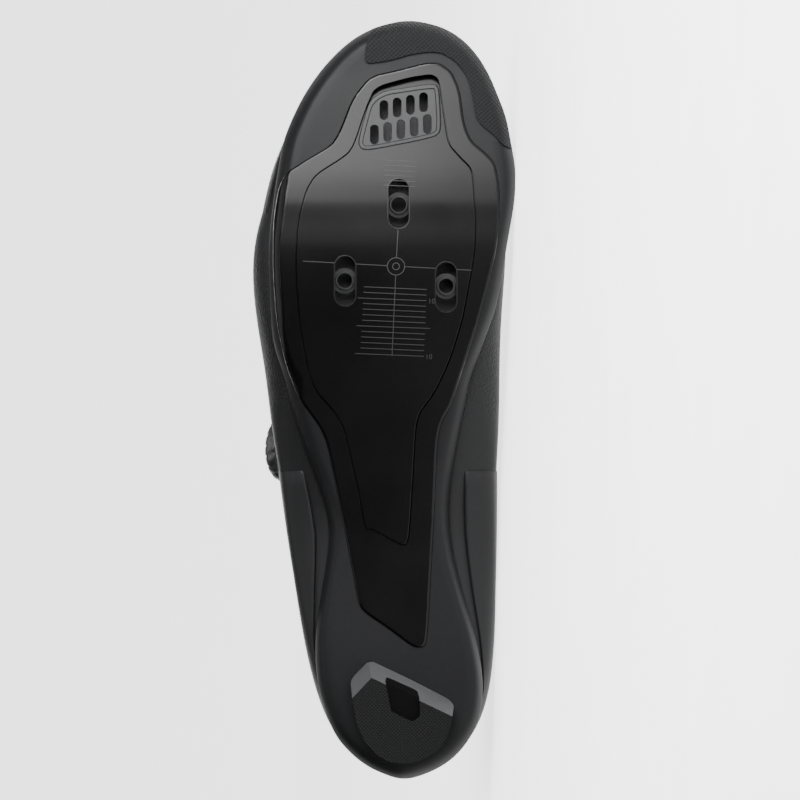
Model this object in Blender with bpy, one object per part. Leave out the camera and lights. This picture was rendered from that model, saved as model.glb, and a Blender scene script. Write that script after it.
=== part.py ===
"""A right cycling shoe with a stiff plate sole, three cleat nuts and one lace dial.

The shoe is modelled standing: x runs from the heel's back to the toe's tip, y to the inner side of the
foot, z up from the ground. An empty then lays it on its inner side, where it rests on the sole's edge
and the upper. Lengths are metres. Tables hold shares of the named sizes.
"""
import math

import bmesh
import bpy
from mathutils import Matrix, Vector

# Driving sizes
LENGTH = 0.277              # heel's back to toe's tip, EU 42
WIDTH = 0.0956              # widest place, at the ball of the foot
INSTEP_HEIGHT = 0.094       # ground to the top of the instep
COLLAR_HEIGHT = 0.091       # ground to the top of the heel
HEEL_LIFT = 0.0155          # ground to the sole's underside at the waist
TOE_SPRING = 0.020          # rise of the sole's underside at the tip
SOLE_THICKNESS = 0.0085     # underside to the insole board's seat
UPPER_WALL = 0.0018
FOOT_TUCK = 0.0012          # least distance that the wall's foot stands inside its belly
OVERLAY = 0.0012            # toe cap and heel counter
OVERLAY_PROUD = 0.0003      # how far an overlay stands above the wall beside it
EYESTAY_STEP = 0.0008
EYESTAY_WIDTH = 0.014
EDGE_ROUND = 0.0034         # width of the rounded rim of the underside
CLEARANCE = 0.0003          # between two pieces that touch on the real shoe
INSOLE_THICKNESS = 0.003
TONGUE_THICKNESS = 0.0036
PLATE_DEPTH = 0.0030
PLATE_PROUD = 0.0006
PANEL_DEPTH = 0.0018
PANEL_SUNK = 0.0007         # below the plate's border
GROOVE = 0.0007             # joint round the cleat panel
BUMPER_DEPTH = 0.0018
BUMPER_PROUD = 0.0007
CLEAT_SLOT_WIDTH = 0.0073
CLEAT_SLOT_LENGTH = 0.0178
NUT_RADIUS = 0.0033
NUT_BORE_RADIUS = 0.00245   # M5 thread
NUT_FLANGE_RADIUS = 0.0046
NUT_FLANGE = 0.0012
NUT_SUNK = 0.0003           # below the panel
VENT_SLOT_WIDTH = 0.00315
VENT_SLOT_LENGTH = 0.00725
VENT_PITCH = 0.00489
VENT_ROW_ANGLE = math.radians(11.4)
VENT_SUNK = 0.0008
DIAL_RADIUS = 0.0131
DIAL_HEIGHT = 0.0064
DIAL_BASE_RADIUS = 0.0150
DIAL_BASE_HEIGHT = 0.0020
DIAL_TILT = math.radians(28)
LACE_RADIUS = 0.0006
LACE_LIFT = 0.0025          # the lace's middle above the wall, in a guide
LACE_DIP = 0.0002           # the same over the tongue
GUIDE_LENGTH = 0.0115
GUIDE_WIDTH = 0.0062
GUIDE_BACK = 0.0040         # a guide's middle from the throat's edge
GUIDE_SKIN = 0.0006         # least wall round the lace's channel

# How fine the meshes are
AROUND = 50                 # steps round the shoe
CIRCLE = 18                 # sides of a round piece

# Outlines seen from below: at is a share of LENGTH from the heel, the sides are shares of WIDTH
EDGE_COLUMNS = ("at", "outer", "inner")
SOLE_EDGE = (
    (0.000, 0.015, 0.015), (0.005, -0.050, 0.085), (0.015, -0.115, 0.150), (0.030, -0.175, 0.210),
    (0.055, -0.240, 0.268), (0.085, -0.280, 0.305), (0.130, -0.315, 0.315), (0.185, -0.322, 0.290),
    (0.240, -0.303, 0.244), (0.290, -0.278, 0.207), (0.335, -0.270, 0.188), (0.380, -0.305, 0.189),
    (0.430, -0.358, 0.210), (0.485, -0.408, 0.242), (0.530, -0.441, 0.270), (0.575, -0.480, 0.318),
    (0.630, -0.492, 0.370), (0.700, -0.497, 0.405), (0.760, -0.480, 0.434), (0.800, -0.463, 0.438),
    (0.840, -0.441, 0.420), (0.870, -0.408, 0.403), (0.900, -0.365, 0.372), (0.930, -0.308, 0.335),
    (0.955, -0.245, 0.290), (0.975, -0.178, 0.235), (0.990, -0.098, 0.165), (0.997, -0.030, 0.100),
    (1.000, 0.034, 0.034),
)
UPPER_SIDE = (
    (0.000, 0.015, 0.015), (0.005, -0.053, 0.087), (0.015, -0.121, 0.159), (0.030, -0.180, 0.215),
    (0.055, -0.246, 0.280), (0.080, -0.284, 0.318), (0.107, -0.314, 0.341), (0.133, -0.337, 0.352),
    (0.185, -0.371, 0.367), (0.240, -0.398, 0.371), (0.340, -0.447, 0.379), (0.450, -0.487, 0.380),
    (0.550, -0.522, 0.384), (0.600, -0.545, 0.388), (0.650, -0.560, 0.397), (0.700, -0.556, 0.405),
    (0.760, -0.523, 0.411), (0.800, -0.498, 0.411), (0.840, -0.452, 0.403), (0.870, -0.406, 0.396),
    (0.900, -0.362, 0.368), (0.930, -0.305, 0.332), (0.955, -0.243, 0.288), (0.975, -0.178, 0.236),
    (0.990, -0.098, 0.165), (0.997, -0.030, 0.100), (1.000, 0.034, 0.034),
)
# Side profile: belly, ridge are shares of INSTEP_HEIGHT, collar of COLLAR_HEIGHT, arch of HEEL_LIFT,
# spring of TOE_SPRING, centre (the ridge's sideways place) and throat (its half width) of WIDTH
PROFILE_COLUMNS = ("at", "arch", "spring", "belly", "ridge", "centre", "collar", "throat")
PROFILE = (
    (0.00, 0.95, 0.00, 0.375, 1.36, 0.015, 1.000, 0.215),
    (0.05, 0.93, 0.00, 0.375, 1.36, 0.010, 0.960, 0.215),
    (0.10, 0.92, 0.00, 0.375, 1.35, 0.005, 0.890, 0.215),
    (0.16, 0.93, 0.00, 0.375, 1.33, 0.000, 0.845, 0.215),
    (0.22, 0.97, 0.00, 0.375, 1.28, -0.005, 0.865, 0.215),
    (0.28, 1.00, 0.00, 0.375, 1.20, -0.010, 0.920, 0.215),
    (0.34, 0.99, 0.00, 0.370, 1.10, -0.010, 0.952, 0.215),
    (0.40, 0.88, 0.00, 0.365, 1.03, -0.015, 0.985, 0.185),
    (0.46, 0.68, 0.00, 0.350, 0.965, -0.020, 1.060, 0.165),
    (0.52, 0.45, 0.00, 0.320, 0.900, -0.020, 1.300, 0.152),
    (0.58, 0.21, 0.00, 0.290, 0.833, -0.025, 1.400, 0.140),
    (0.64, 0.05, 0.00, 0.250, 0.765, -0.030, 1.500, 0.128),
    (0.70, 0.00, 0.01, 0.230, 0.705, -0.028, 1.500, 0.105),
    (0.735, 0.00, 0.04, 0.226, 0.672, -0.025, 1.500, 0.060),
    (0.76, 0.00, 0.07, 0.225, 0.650, -0.022, 1.500, 0.00),
    (0.82, 0.00, 0.19, 0.235, 0.600, -0.015, 1.500, 0.00),
    (0.88, 0.00, 0.39, 0.260, 0.553, -0.005, 1.500, 0.00),
    (0.94, 0.00, 0.66, 0.305, 0.500, 0.010, 1.500, 0.00),
    (1.00, 0.00, 1.00, 0.380, 0.430, 0.030, 1.500, 0.00),
)
RIDGE_SPAN = (0.10, 0.925)   # where the ridge starts and ends, as shares of LENGTH
THROAT_SPAN = (0.330, 0.759)
SPINE_SPAN = (0.11, 0.880)   # the same for the sole's middle line

# Outlines on the underside: shares of LENGTH from the heel and of WIDTH towards the inner side
PLATE_OUTLINE = (
    (0.924, -0.114), (0.933, 0.000), (0.942, 0.098), (0.942, 0.150), (0.930, 0.198), (0.905, 0.228),
    (0.860, 0.244), (0.838, 0.270), (0.822, 0.325), (0.810, 0.358), (0.787, 0.374), (0.755, 0.379),
    (0.700, 0.369), (0.650, 0.335), (0.600, 0.296), (0.545, 0.244), (0.494, 0.197), (0.470, 0.158),
    (0.444, 0.142), (0.342, 0.130), (0.238, 0.114), (0.185, 0.105), (0.174, 0.092), (0.174, 0.050),
    (0.197, -0.038), (0.222, -0.144), (0.236, -0.162), (0.290, -0.189), (0.361, -0.231), (0.440, -0.276),
    (0.463, -0.303), (0.502, -0.386), (0.545, -0.435), (0.604, -0.470), (0.669, -0.483), (0.735, -0.481),
    (0.775, -0.463), (0.795, -0.435), (0.812, -0.360), (0.832, -0.262), (0.850, -0.230), (0.894, -0.182),
)
PANEL_OUTLINE = (
    (0.910, -0.095), (0.923, 0.038), (0.927, 0.118), (0.922, 0.144), (0.910, 0.155), (0.871, 0.170),
    (0.834, 0.187), (0.818, 0.227), (0.803, 0.270), (0.790, 0.280), (0.735, 0.289), (0.695, 0.286),
    (0.638, 0.258), (0.599, 0.235), (0.550, 0.190), (0.510, 0.136), (0.481, 0.074), (0.460, 0.061),
    (0.381, 0.049), (0.316, 0.036), (0.306, 0.018), (0.315, -0.038), (0.329, -0.110), (0.328, -0.136),
    (0.376, -0.159), (0.421, -0.189), (0.462, -0.217), (0.483, -0.250), (0.510, -0.322), (0.538, -0.352),
    (0.596, -0.383), (0.669, -0.398), (0.730, -0.389), (0.772, -0.359), (0.794, -0.322), (0.820, -0.203),
    (0.834, -0.176), (0.884, -0.129),
)
VENT_OUTLINE = (
    (0.902, -0.110), (0.915, 0.133), (0.907, 0.150), (0.851, 0.158), (0.842, 0.129), (0.825, -0.117),
    (0.827, -0.148), (0.837, -0.161),
)
VENT_WINDOW = (
    (0.896, -0.088), (0.908, 0.121), (0.905, 0.127), (0.855, 0.140), (0.848, 0.120), (0.831, -0.110),
    (0.833, -0.135), (0.838, -0.145),
)
BUMPER_OUTLINE = (
    (1.020, -0.095), (0.984, -0.110), (0.965, -0.131), (0.946, -0.135), (0.941, -0.121), (0.945, -0.038),
    (0.953, 0.038), (0.957, 0.114), (0.955, 0.162), (0.944, 0.212), (0.925, 0.253), (0.900, 0.273),
    (0.872, 0.285), (0.860, 0.305), (0.845, 0.358), (0.834, 0.386), (0.828, 0.420), (0.826, 0.520),
    (1.020, 0.520),
)
HEEL_PAD_OUTLINE = (
    (0.159, -0.114), (0.132, -0.189), (0.111, -0.181), (0.077, -0.164), (0.053, -0.133), (0.036, -0.087),
    (0.027, -0.038), (0.025, 0.010), (0.026, 0.055), (0.034, 0.106), (0.045, 0.150), (0.062, 0.181),
    (0.077, 0.193), (0.103, 0.207), (0.132, 0.042),
)
HEEL_WINDOW_OUTLINE = (
    (0.137, -0.050), (0.119, 0.066), (0.109, 0.074), (0.087, 0.076), (0.080, 0.050), (0.082, 0.030),
    (0.093, -0.033), (0.109, -0.042), (0.133, -0.056),
)
HEEL_SLOPE = ((0.1105, -0.180), (0.137, -0.108), (0.088, 0.190))   # the foot of the pad's sloped front
CLEAT_SLOTS = (
    ("front", 0.7555, -0.005, 0.754, -0.005),
    ("lateral", 0.6545, -0.208, 0.655, -0.209),
    ("medial", 0.6465, 0.174, 0.648, 0.174),
)                                                     # name, slot's place, nut's place
VENT_ROWS = ((0.8790, -0.061, 4), (0.8465, -0.097, 5))  # first slot's place, slots in the row
DIAL_AT = 0.430             # share of LENGTH
DIAL_RISE = 0.715           # height of its axis, a share of INSTEP_HEIGHT
GUIDES = ((0.440, "inner"), (0.515, "outer"), (0.590, "inner"), (0.665, "outer"))

# Colour, roughness, metallic and density in kg per cubic metre
MATERIALS = {
    "knit": ((0.032, 0.033, 0.035), 0.85, 0.0, 900),
    "overlay": ((0.030, 0.031, 0.033), 0.55, 0.0, 1100),
    "base": ((0.045, 0.046, 0.048), 0.62, 0.0, 1100),
    "gloss": ((0.012, 0.012, 0.013), 0.14, 0.0, 1100),
    "rubber": ((0.030, 0.031, 0.033), 0.80, 0.0, 1200),
    "insert": ((0.006, 0.006, 0.006), 0.25, 0.0, 1100),
    "foam": ((0.42, 0.42, 0.42), 0.90, 0.0, 300),
    "nut": ((0.10, 0.10, 0.105), 0.35, 0.8, 7850),
    "dial": ((0.020, 0.020, 0.021), 0.40, 0.0, 1100),
    "lace": ((0.05, 0.05, 0.05), 0.60, 0.0, 1100),
}


for thing in list(bpy.data.objects):
    bpy.data.objects.remove(thing, do_unlink=True)
PARTS = bpy.data.collections.new("cycling_shoe")
CUTTERS = bpy.data.collections.new("cutters")
for group in (PARTS, CUTTERS):
    bpy.context.scene.collection.children.link(group)


def turn(share):
    """Angle of a share of a span, so that rounded ends are met by even steps."""
    return math.acos(max(-1.0, min(1.0, 1.0 - 2.0 * share)))


def share_of(angle):
    return 0.5 * (1.0 - math.cos(angle))


def reader(columns, rows):
    """Smooth functions of the first column, one for each other column of a table."""
    knots = [turn(row[0]) for row in rows]

    def slope(values, k):
        before, after = max(k - 1, 0), min(k + 1, len(rows) - 1)
        return (values[after] - values[before]) / (knots[after] - knots[before])

    def make(values):
        def read(share):
            angle = turn(share)
            k = max(i for i in range(len(rows) - 1) if knots[i] <= angle or i == 0)
            span = knots[k + 1] - knots[k]
            t = (angle - knots[k]) / span
            low, high = values[k], values[k + 1]
            rise, fall = slope(values, k) * span, slope(values, k + 1) * span
            return ((2 * t**3 - 3 * t**2 + 1) * low + (t**3 - 2 * t**2 + t) * rise
                    + (3 * t**2 - 2 * t**3) * high + (t**3 - t**2) * fall)
        return read

    return {name: make([row[i] for row in rows]) for i, name in enumerate(columns) if i}


SOLE = reader(EDGE_COLUMNS, SOLE_EDGE)
SIDE = reader(EDGE_COLUMNS, UPPER_SIDE)
LINE = reader(PROFILE_COLUMNS, PROFILE)


def clamp(value, low=0.0, high=1.0):
    return max(low, min(high, value))


def ease(value, start, end):
    t = clamp((value - start) / (end - start))
    return t * t * (3.0 - 2.0 * t)


def round_place(u):
    """Share of length and side for a place u round the shoe: 0 is the heel, pi the toe."""
    u = u % (2.0 * math.pi)
    if u <= math.pi:
        return share_of(u), "inner"
    return share_of(2.0 * math.pi - u), "outer"


def underside(x):
    at = clamp(x / LENGTH)
    return HEEL_LIFT * LINE["arch"](at) + TOE_SPRING * LINE["spring"](at)


def along(span, share):
    return (span[0] + (span[1] - span[0]) * share) * LENGTH


def sole_edge(u):
    share, side = round_place(u)
    return Vector((share * LENGTH, SOLE[side](share) * WIDTH))


def spine(u):
    share, _ = round_place(u)
    middle = 0.5 * (SOLE["inner"](share) + SOLE["outer"](share))
    return Vector((along(SPINE_SPAN, share), middle * WIDTH))


def sole_place(u, inset):
    """A place in the sole's plan, a distance inside its edge."""
    edge, middle = sole_edge(u), spine(u)
    reach = (edge - middle).length
    return edge + (middle - edge) * min(inset / reach, 1.0)


def rim_rise(inset):
    """How far the underside turns up near its edge."""
    rounding = clamp(1.0 - inset / (1.5 * EDGE_ROUND))
    return 0.72 * SOLE_THICKNESS * rounding ** 2


def skin(u, phi, off=0.0):
    """The upper's outer surface: phi is -pi/2 at the sole, 0 at the belly and pi/2 at the ridge."""
    share, side = round_place(u)
    belly = Vector((share * LENGTH, SIDE[side](share) * WIDTH))
    at = along(RIDGE_SPAN, share) / LENGTH
    ridge = Vector((at * LENGTH, LINE["centre"](at) * WIDTH))
    belly_height = LINE["belly"](share) * INSTEP_HEIGHT
    if phi >= 0.0:
        plan = belly + (ridge - belly) * (1.0 - math.cos(phi))
        height = belly_height + (LINE["ridge"](at) * INSTEP_HEIGHT - belly_height) * math.sin(phi)
    else:
        beyond = (abs(SOLE[side](share)) - abs(SIDE[side](share))) * WIDTH
        foot = sole_place(u, max(2.0 * CLEARANCE, beyond + FOOT_TUCK))
        seat = underside(foot.x) + SOLE_THICKNESS + CLEARANCE
        plan = belly + (foot - belly) * (1.0 - math.cos(phi))
        height = belly_height + (belly_height - seat) * math.sin(phi)
    point = Vector((plan.x, plan.y, height))
    if off == 0.0:
        return point
    way = outward(u, phi)
    if phi > math.pi / 2 - 1e-6:
        way = (way + outward(-u, phi)).normalized()
    return point + way * off


def outward(u, phi):
    """The upper's normal, taken a little short of the ridge and of the sole."""
    step = 0.01
    lean = max(-math.pi / 2 + 2 * step, min(phi, math.pi / 2 - 2 * step))
    around = skin(u + step, lean) - skin(u - step, lean)
    over = skin(u, lean + step) - skin(u, lean - step)
    return over.cross(around).normalized()


def sunk(u):
    """The wall lies deeper under the toe cap and the heel counter."""
    share, _ = round_place(u)
    cover = max(1.0 - ease(share, 0.38, 0.44), ease(share, 0.70, 0.76))
    return (OVERLAY + CLEARANCE - OVERLAY_PROUD) * cover


def mouth(u):
    """Where the wall ends: at the collar, at the throat's edge, or at the ridge in front of it."""
    share, side = round_place(u)
    at = along(RIDGE_SPAN, share) / LENGTH
    belly = SIDE[side](share) * WIDTH
    low = LINE["belly"](share) * INSTEP_HEIGHT
    high = LINE["ridge"](at) * INSTEP_HEIGHT
    reach = abs(belly - LINE["centre"](at) * WIDTH) + 1e-6
    throat = math.pi / 2
    if THROAT_SPAN[0] < at < THROAT_SPAN[1]:
        throat = math.acos(clamp(LINE["throat"](at) * WIDTH / reach))
    collar = math.asin(clamp((LINE["collar"](share) * COLLAR_HEIGHT - low) / (high - low)))
    return min(throat, collar)


def ride_on(obj, material):
    """Give a piece its material, its collection and the empty that lays the shoe down."""
    colour, rough, metal, _ = MATERIALS[material]
    if material not in bpy.data.materials:
        made = bpy.data.materials.new(material)
        made.use_nodes = True
        shader = made.node_tree.nodes["Principled BSDF"]
        shader.inputs["Base Color"].default_value = (*colour, 1.0)
        shader.inputs["Roughness"].default_value = rough
        shader.inputs["Metallic"].default_value = metal
    obj.data.materials.clear()
    obj.data.materials.append(bpy.data.materials[material])
    obj.parent = SHOE
    return obj


def keep(bm, name, group=PARTS, merge=1e-6):
    """Turn a bmesh into a named object with its faces outwards."""
    bmesh.ops.remove_doubles(bm, verts=bm.verts, dist=merge)
    bmesh.ops.dissolve_degenerate(bm, edges=bm.edges, dist=merge)
    bmesh.ops.recalc_face_normals(bm, faces=bm.faces)
    mesh = bpy.data.meshes.new(name)
    bm.to_mesh(mesh)
    bm.free()
    obj = bpy.data.objects.new(name, mesh)
    group.objects.link(obj)
    if group is CUTTERS:
        obj.hide_render = True
        obj.display_type = "WIRE"
    return obj


def closed_grid(name, outer, inner, loop, merge=1e-6, joined=()):
    """A wall between two grids of points: its four rims are closed, or two where the grid is a loop.

    joined holds the rows whose last points meet those of the other side, so that no rim is there.
    """
    bm = bmesh.new()
    faces = []
    sheets = [[[bm.verts.new(p) for p in row] for row in sheet] for sheet in (outer, inner)]
    rows, columns = len(outer), len(outer[0])
    rings = rows if loop else rows - 1
    for sheet in sheets:
        for i in range(rings):
            for j in range(columns - 1):
                a, b = sheet[i], sheet[(i + 1) % rows]
                faces.append((a[j], a[j + 1], b[j + 1], b[j]))
    for j in (0, columns - 1):
        for i in range(rings):
            k = (i + 1) % rows
            if j and i in joined and k in joined:
                continue
            faces.append((sheets[0][i][j], sheets[0][k][j], sheets[1][k][j], sheets[1][i][j]))
    if not loop:
        for i in (0, rows - 1):
            for j in range(columns - 1):
                faces.append((sheets[0][i][j], sheets[0][i][j + 1], sheets[1][i][j + 1], sheets[1][i][j]))
    for a, b, c, d in faces:
        bm.faces.new((a, b, c))
        bm.faces.new((a, c, d))
    return keep(bm, name, PARTS, merge)


def prism(name, outline, low, high, group=CUTTERS, grow=0.0, rounds=1):
    """An upright block over an outline given in shares, with its corners cut round."""
    points = [Vector((at * LENGTH, across * WIDTH)) for at, across in outline]
    for _ in range(rounds):
        cut = []
        for k, point in enumerate(points):
            following = points[(k + 1) % len(points)]
            cut += [point.lerp(following, 0.25), point.lerp(following, 0.75)]
        points = cut
    area = sum(a.x * b.y - b.x * a.y for a, b in zip(points, points[1:] + points[:1]))
    moved = []
    for k, point in enumerate(points):
        flow = (points[(k + 1) % len(points)] - points[k - 1]).normalized()
        moved.append(point + Vector((flow.y, -flow.x)) * math.copysign(1.0, area) * grow)
    bm = bmesh.new()
    floor = bm.faces.new([bm.verts.new((p.x, p.y, low)) for p in moved])
    raised = bmesh.ops.extrude_face_region(bm, geom=[floor])["geom"]
    lifted = [v for v in raised if isinstance(v, bmesh.types.BMVert)]
    bmesh.ops.translate(bm, verts=lifted, vec=(0.0, 0.0, high - low))
    return keep(bm, name, group)


def slot_cutter(name, centre, width, length, low, high, angle=0.0):
    """An upright block with round ends, long along the shoe."""
    bm = bmesh.new()
    radius, reach = width / 2, (length - width) / 2
    steps = 3
    points = []
    for end in (1, -1):
        for k in range(steps + 1):
            a = math.pi * k / steps + (0.0 if end > 0 else math.pi)
            points.append(Vector((end * reach + radius * math.sin(a), radius * math.cos(a))))
    turned = [Matrix.Rotation(angle, 2) @ p + centre for p in points]
    floor = bm.faces.new([bm.verts.new((p.x, p.y, low)) for p in turned])
    raised = bmesh.ops.extrude_face_region(bm, geom=[floor])["geom"]
    lifted = [v for v in raised if isinstance(v, bmesh.types.BMVert)]
    bmesh.ops.translate(bm, verts=lifted, vec=(0.0, 0.0, high - low))
    return keep(bm, name, CUTTERS)


def turned(name, profile, centre, axis, group=PARTS):
    """A turned piece: profile holds pairs of radius and height along the axis."""
    bm = bmesh.new()
    verts = [bm.verts.new((radius, 0.0, height)) for radius, height in profile]
    edges = [bm.edges.new(pair) for pair in zip(verts, verts[1:])]
    if profile[0][0] > 0.0:
        edges.append(bm.edges.new((verts[-1], verts[0])))
    bmesh.ops.spin(bm, geom=verts + edges, cent=(0, 0, 0), axis=(0, 0, 1), angle=2 * math.pi,
                   steps=CIRCLE, use_merge=True)
    place = Matrix.Translation(centre) @ Vector((0, 0, 1)).rotation_difference(axis).to_matrix().to_4x4()
    bmesh.ops.transform(bm, matrix=place, verts=bm.verts)
    return keep(bm, name, group)


def boolean(obj, cutter, operation):
    modifier = obj.modifiers.new(operation.lower(), "BOOLEAN")
    modifier.operation = operation
    modifier.solver = "EXACT"
    modifier.object = cutter
    return obj


def settle(obj, merge=2e-6, flat=0.9):
    """Apply the cuts made so far, and join faces that lie within flat degrees of each other."""
    bpy.context.view_layer.update()
    seen = obj.evaluated_get(bpy.context.evaluated_depsgraph_get())
    mesh = bpy.data.meshes.new_from_object(seen)
    obj.modifiers.clear()
    bm = bmesh.new()
    bm.from_mesh(mesh)
    bmesh.ops.remove_doubles(bm, verts=bm.verts, dist=merge)
    bmesh.ops.dissolve_degenerate(bm, edges=bm.edges, dist=merge)
    bmesh.ops.dissolve_limit(bm, angle_limit=math.radians(flat), verts=bm.verts, edges=bm.edges)
    bmesh.ops.triangulate(bm, faces=bm.faces)
    bm.to_mesh(mesh)
    bm.free()
    obj.data = mesh
    return obj


def sole_body(name, low, high, group=PARTS, beyond=0.0):
    """A body over the sole's plan from low to high above the underside; high None means the seat."""
    insets = (0.0, 0.3 * EDGE_ROUND, 0.75 * EDGE_ROUND, 1.4 * EDGE_ROUND, 0.016, 1.0)
    if beyond:
        insets = (-beyond,) + insets
    under, over = [], []
    for step in range(AROUND):
        u = 2.0 * math.pi * step / AROUND
        lower, upper = [], []
        for depth in insets:
            place = sole_place(u, depth)
            base = underside(place.x)
            rise = rim_rise(max(depth, 0.0))
            lower.append(Vector((place.x, place.y, base + rise + low)))
            top = base + SOLE_THICKNESS if high is None else base + rise + high
            upper.append(Vector((place.x, place.y, top)))
        under.append(lower)
        over.append(upper)
    bm = bmesh.new()
    for sheet in (under, over):
        rings = [[bm.verts.new(p) for p in row] for row in sheet]
        for i in range(AROUND):
            a, b = rings[i], rings[(i + 1) % AROUND]
            for j in range(len(insets) - 1):
                bm.faces.new((a[j], a[j + 1], b[j + 1], b[j]))
        if sheet is under:
            rim = [row[0] for row in rings]
    for i in range(AROUND):
        k = (i + 1) % AROUND
        bm.faces.new((rim[i], rim[k], rings[k][0], rings[i][0]))
    close_spine(bm)
    return keep(bm, name, group, merge=1e-5)


def close_spine(bm):
    """Join the two sides along the middle line and fill what is left of it."""
    bmesh.ops.remove_doubles(bm, verts=bm.verts, dist=1e-5)
    open_edges = [e for e in bm.edges if e.is_boundary]
    if open_edges:
        bmesh.ops.holes_fill(bm, edges=open_edges, sides=0)


def wall_rows(u):
    """The places up the wall at u, each with the step of the eyestay there."""
    end = mouth(u)
    girth = (skin(u, end) - skin(u, 0.0)).length
    band = end * (1.0 - min(EYESTAY_WIDTH / girth, 0.42))
    share, _ = round_place(u)
    stay = EYESTAY_STEP * (1.0 - ease(share, 0.76, 0.80))
    rows = [(math.radians(a), 0.0) for a in (-90, -62, -32, 0)]
    rows += [(band * s, 0.0) for s in (0.30, 0.62, 0.97)]
    return rows + [(band * 1.01, stay), (0.5 * (band + end), stay), (end, stay)]


def last_form(name, off):
    """The whole last as one closed body just outside the wall, or inside it, to fit pieces against."""
    inside = off < 0.0
    bm = bmesh.new()
    rows = []
    for k in range(AROUND):
        u = 2.0 * math.pi * k / AROUND
        places = wall_rows(u) + [(math.pi / 2, 0.0)]
        points = [skin(u, phi, off + (0.0 if inside else step) - sunk(u)) for phi, step in places]
        rows.append([bm.verts.new(p) for p in [points[0] - Vector((0, 0, SOLE_THICKNESS))] + points])
    for i in range(AROUND):
        a, b = rows[i], rows[(i + 1) % AROUND]
        for j in range(len(a) - 1):
            bm.faces.new((a[j], a[j + 1], b[j + 1]))
            bm.faces.new((a[j], b[j + 1], b[j]))
    bm.faces.new([row[0] for row in rows])
    bmesh.ops.triangulate(bm, faces=[f for f in bm.faces if len(f.verts) > 4])
    return keep(bm, name, CUTTERS, merge=3e-5)


SHOE = bpy.data.objects.new("shoe_lying", None)
bpy.context.scene.collection.objects.link(SHOE)


def make_upper():
    """One hollow wall, open underneath, at the collar and along the throat."""
    outer, inner, joined = [], [], []
    for k in range(AROUND):
        u = 2.0 * math.pi * k / AROUND
        if mouth(u) > math.pi / 2 - 1e-6:
            joined.append(k)
        outer.append([skin(u, phi, step - sunk(u)) for phi, step in wall_rows(u)])
        inner.append([skin(u, phi, -UPPER_WALL - sunk(u)) for phi, _ in wall_rows(u)])
    return ride_on(closed_grid("upper", outer, inner, True, merge=2e-4, joined=joined), "knit")


def overlay(name, middle, reach, low, high, material):
    """A raised piece over the upper's wall, between two forms of the upper's own surface."""
    columns = 16
    rows = 4
    outer, inner = [], []
    for i in range(columns + 1):
        u = middle + reach * (2.0 * i / columns - 1.0)
        bottom, top = low(u), high(u)
        spread = [bottom + (top - bottom) * j / rows for j in range(rows + 1)]
        outer.append([skin(u, phi, CLEARANCE + OVERLAY - sunk(u)) for phi in spread])
        inner.append([skin(u, phi, -UPPER_WALL / 2 - sunk(u)) for phi in spread])
    piece = closed_grid(name, outer, inner, False)
    boolean(piece, WALL_FORM, "DIFFERENCE")
    return ride_on(settle(piece), material)


def make_heel_counter():
    reach = turn(0.405)

    def top(u):
        share, _ = round_place(u)
        full = mouth(u) * 0.56
        return full * (1.0 - 0.92 * ease(share, 0.20, 0.385))

    return overlay("heel_counter", 0.0, reach, lambda u: math.radians(-70), top, "overlay")


def make_toe_cap():
    reach = math.pi - turn(0.745)

    def top(u):
        share, _ = round_place(u)
        return math.radians(50 - 26 * (1.0 - ease(share, 0.74, 0.92)))

    return overlay("toe_cap", math.pi, reach, lambda u: math.radians(-52), top, "overlay")


def inside_reach(u):
    """How far from the sole's middle line the wall's inner side stands, beside the insole."""
    middle = spine(u)
    top = underside(sole_edge(u).x) + SOLE_THICKNESS + INSOLE_THICKNESS + UPPER_WALL
    reaches = []
    for degrees in (-90, -76, -62, -47, -32, -16, 0):
        point = skin(u, math.radians(degrees), -UPPER_WALL - sunk(u))
        if reaches and point.z > top:
            break
        reaches.append((point.xy - middle).length)
    return min(reaches) - 2.5 * CLEARANCE


def make_insole():
    """Foam insole on the sole's seat."""
    shares = (1.0, 0.6, 0.0)
    bm = bmesh.new()
    ends = []
    for lift in (CLEARANCE, CLEARANCE + INSOLE_THICKNESS):
        rings = []
        for k in range(AROUND):
            u = 2.0 * math.pi * k / AROUND
            middle = spine(u)
            way = (sole_edge(u) - middle).normalized() * inside_reach(u)
            row = []
            for share in shares:
                place = middle + way * share
                row.append(bm.verts.new((place.x, place.y, underside(place.x) + SOLE_THICKNESS + lift)))
            rings.append(row)
        for i in range(AROUND):
            a, b = rings[i], rings[(i + 1) % AROUND]
            for j in range(len(shares) - 1):
                bm.faces.new((a[j], a[j + 1], b[j + 1], b[j]))
        ends.append([row[0] for row in rings])
    for i in range(AROUND):
        k = (i + 1) % AROUND
        bm.faces.new((ends[0][i], ends[0][k], ends[1][k], ends[1][i]))
    close_spine(bm)
    return ride_on(keep(bm, "insole", merge=1e-5), "foam")


def ridge_section(at, reach, off):
    """Points across the ridge at a share of length, from the outer side to the inner."""
    share = (at - RIDGE_SPAN[0]) / (RIDGE_SPAN[1] - RIDGE_SPAN[0])
    u = turn(share)
    outer = [skin(2.0 * math.pi - u, math.pi / 2 - reach * k / 3, off) for k in (3, 2, 1)]
    inner = [skin(u, math.pi / 2 - reach * k / 3, off) for k in (1, 2, 3)]
    crest = 0.5 * (skin(u, math.pi / 2, off) + skin(2.0 * math.pi - u, math.pi / 2, off))
    return outer + [crest] + inner


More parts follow.
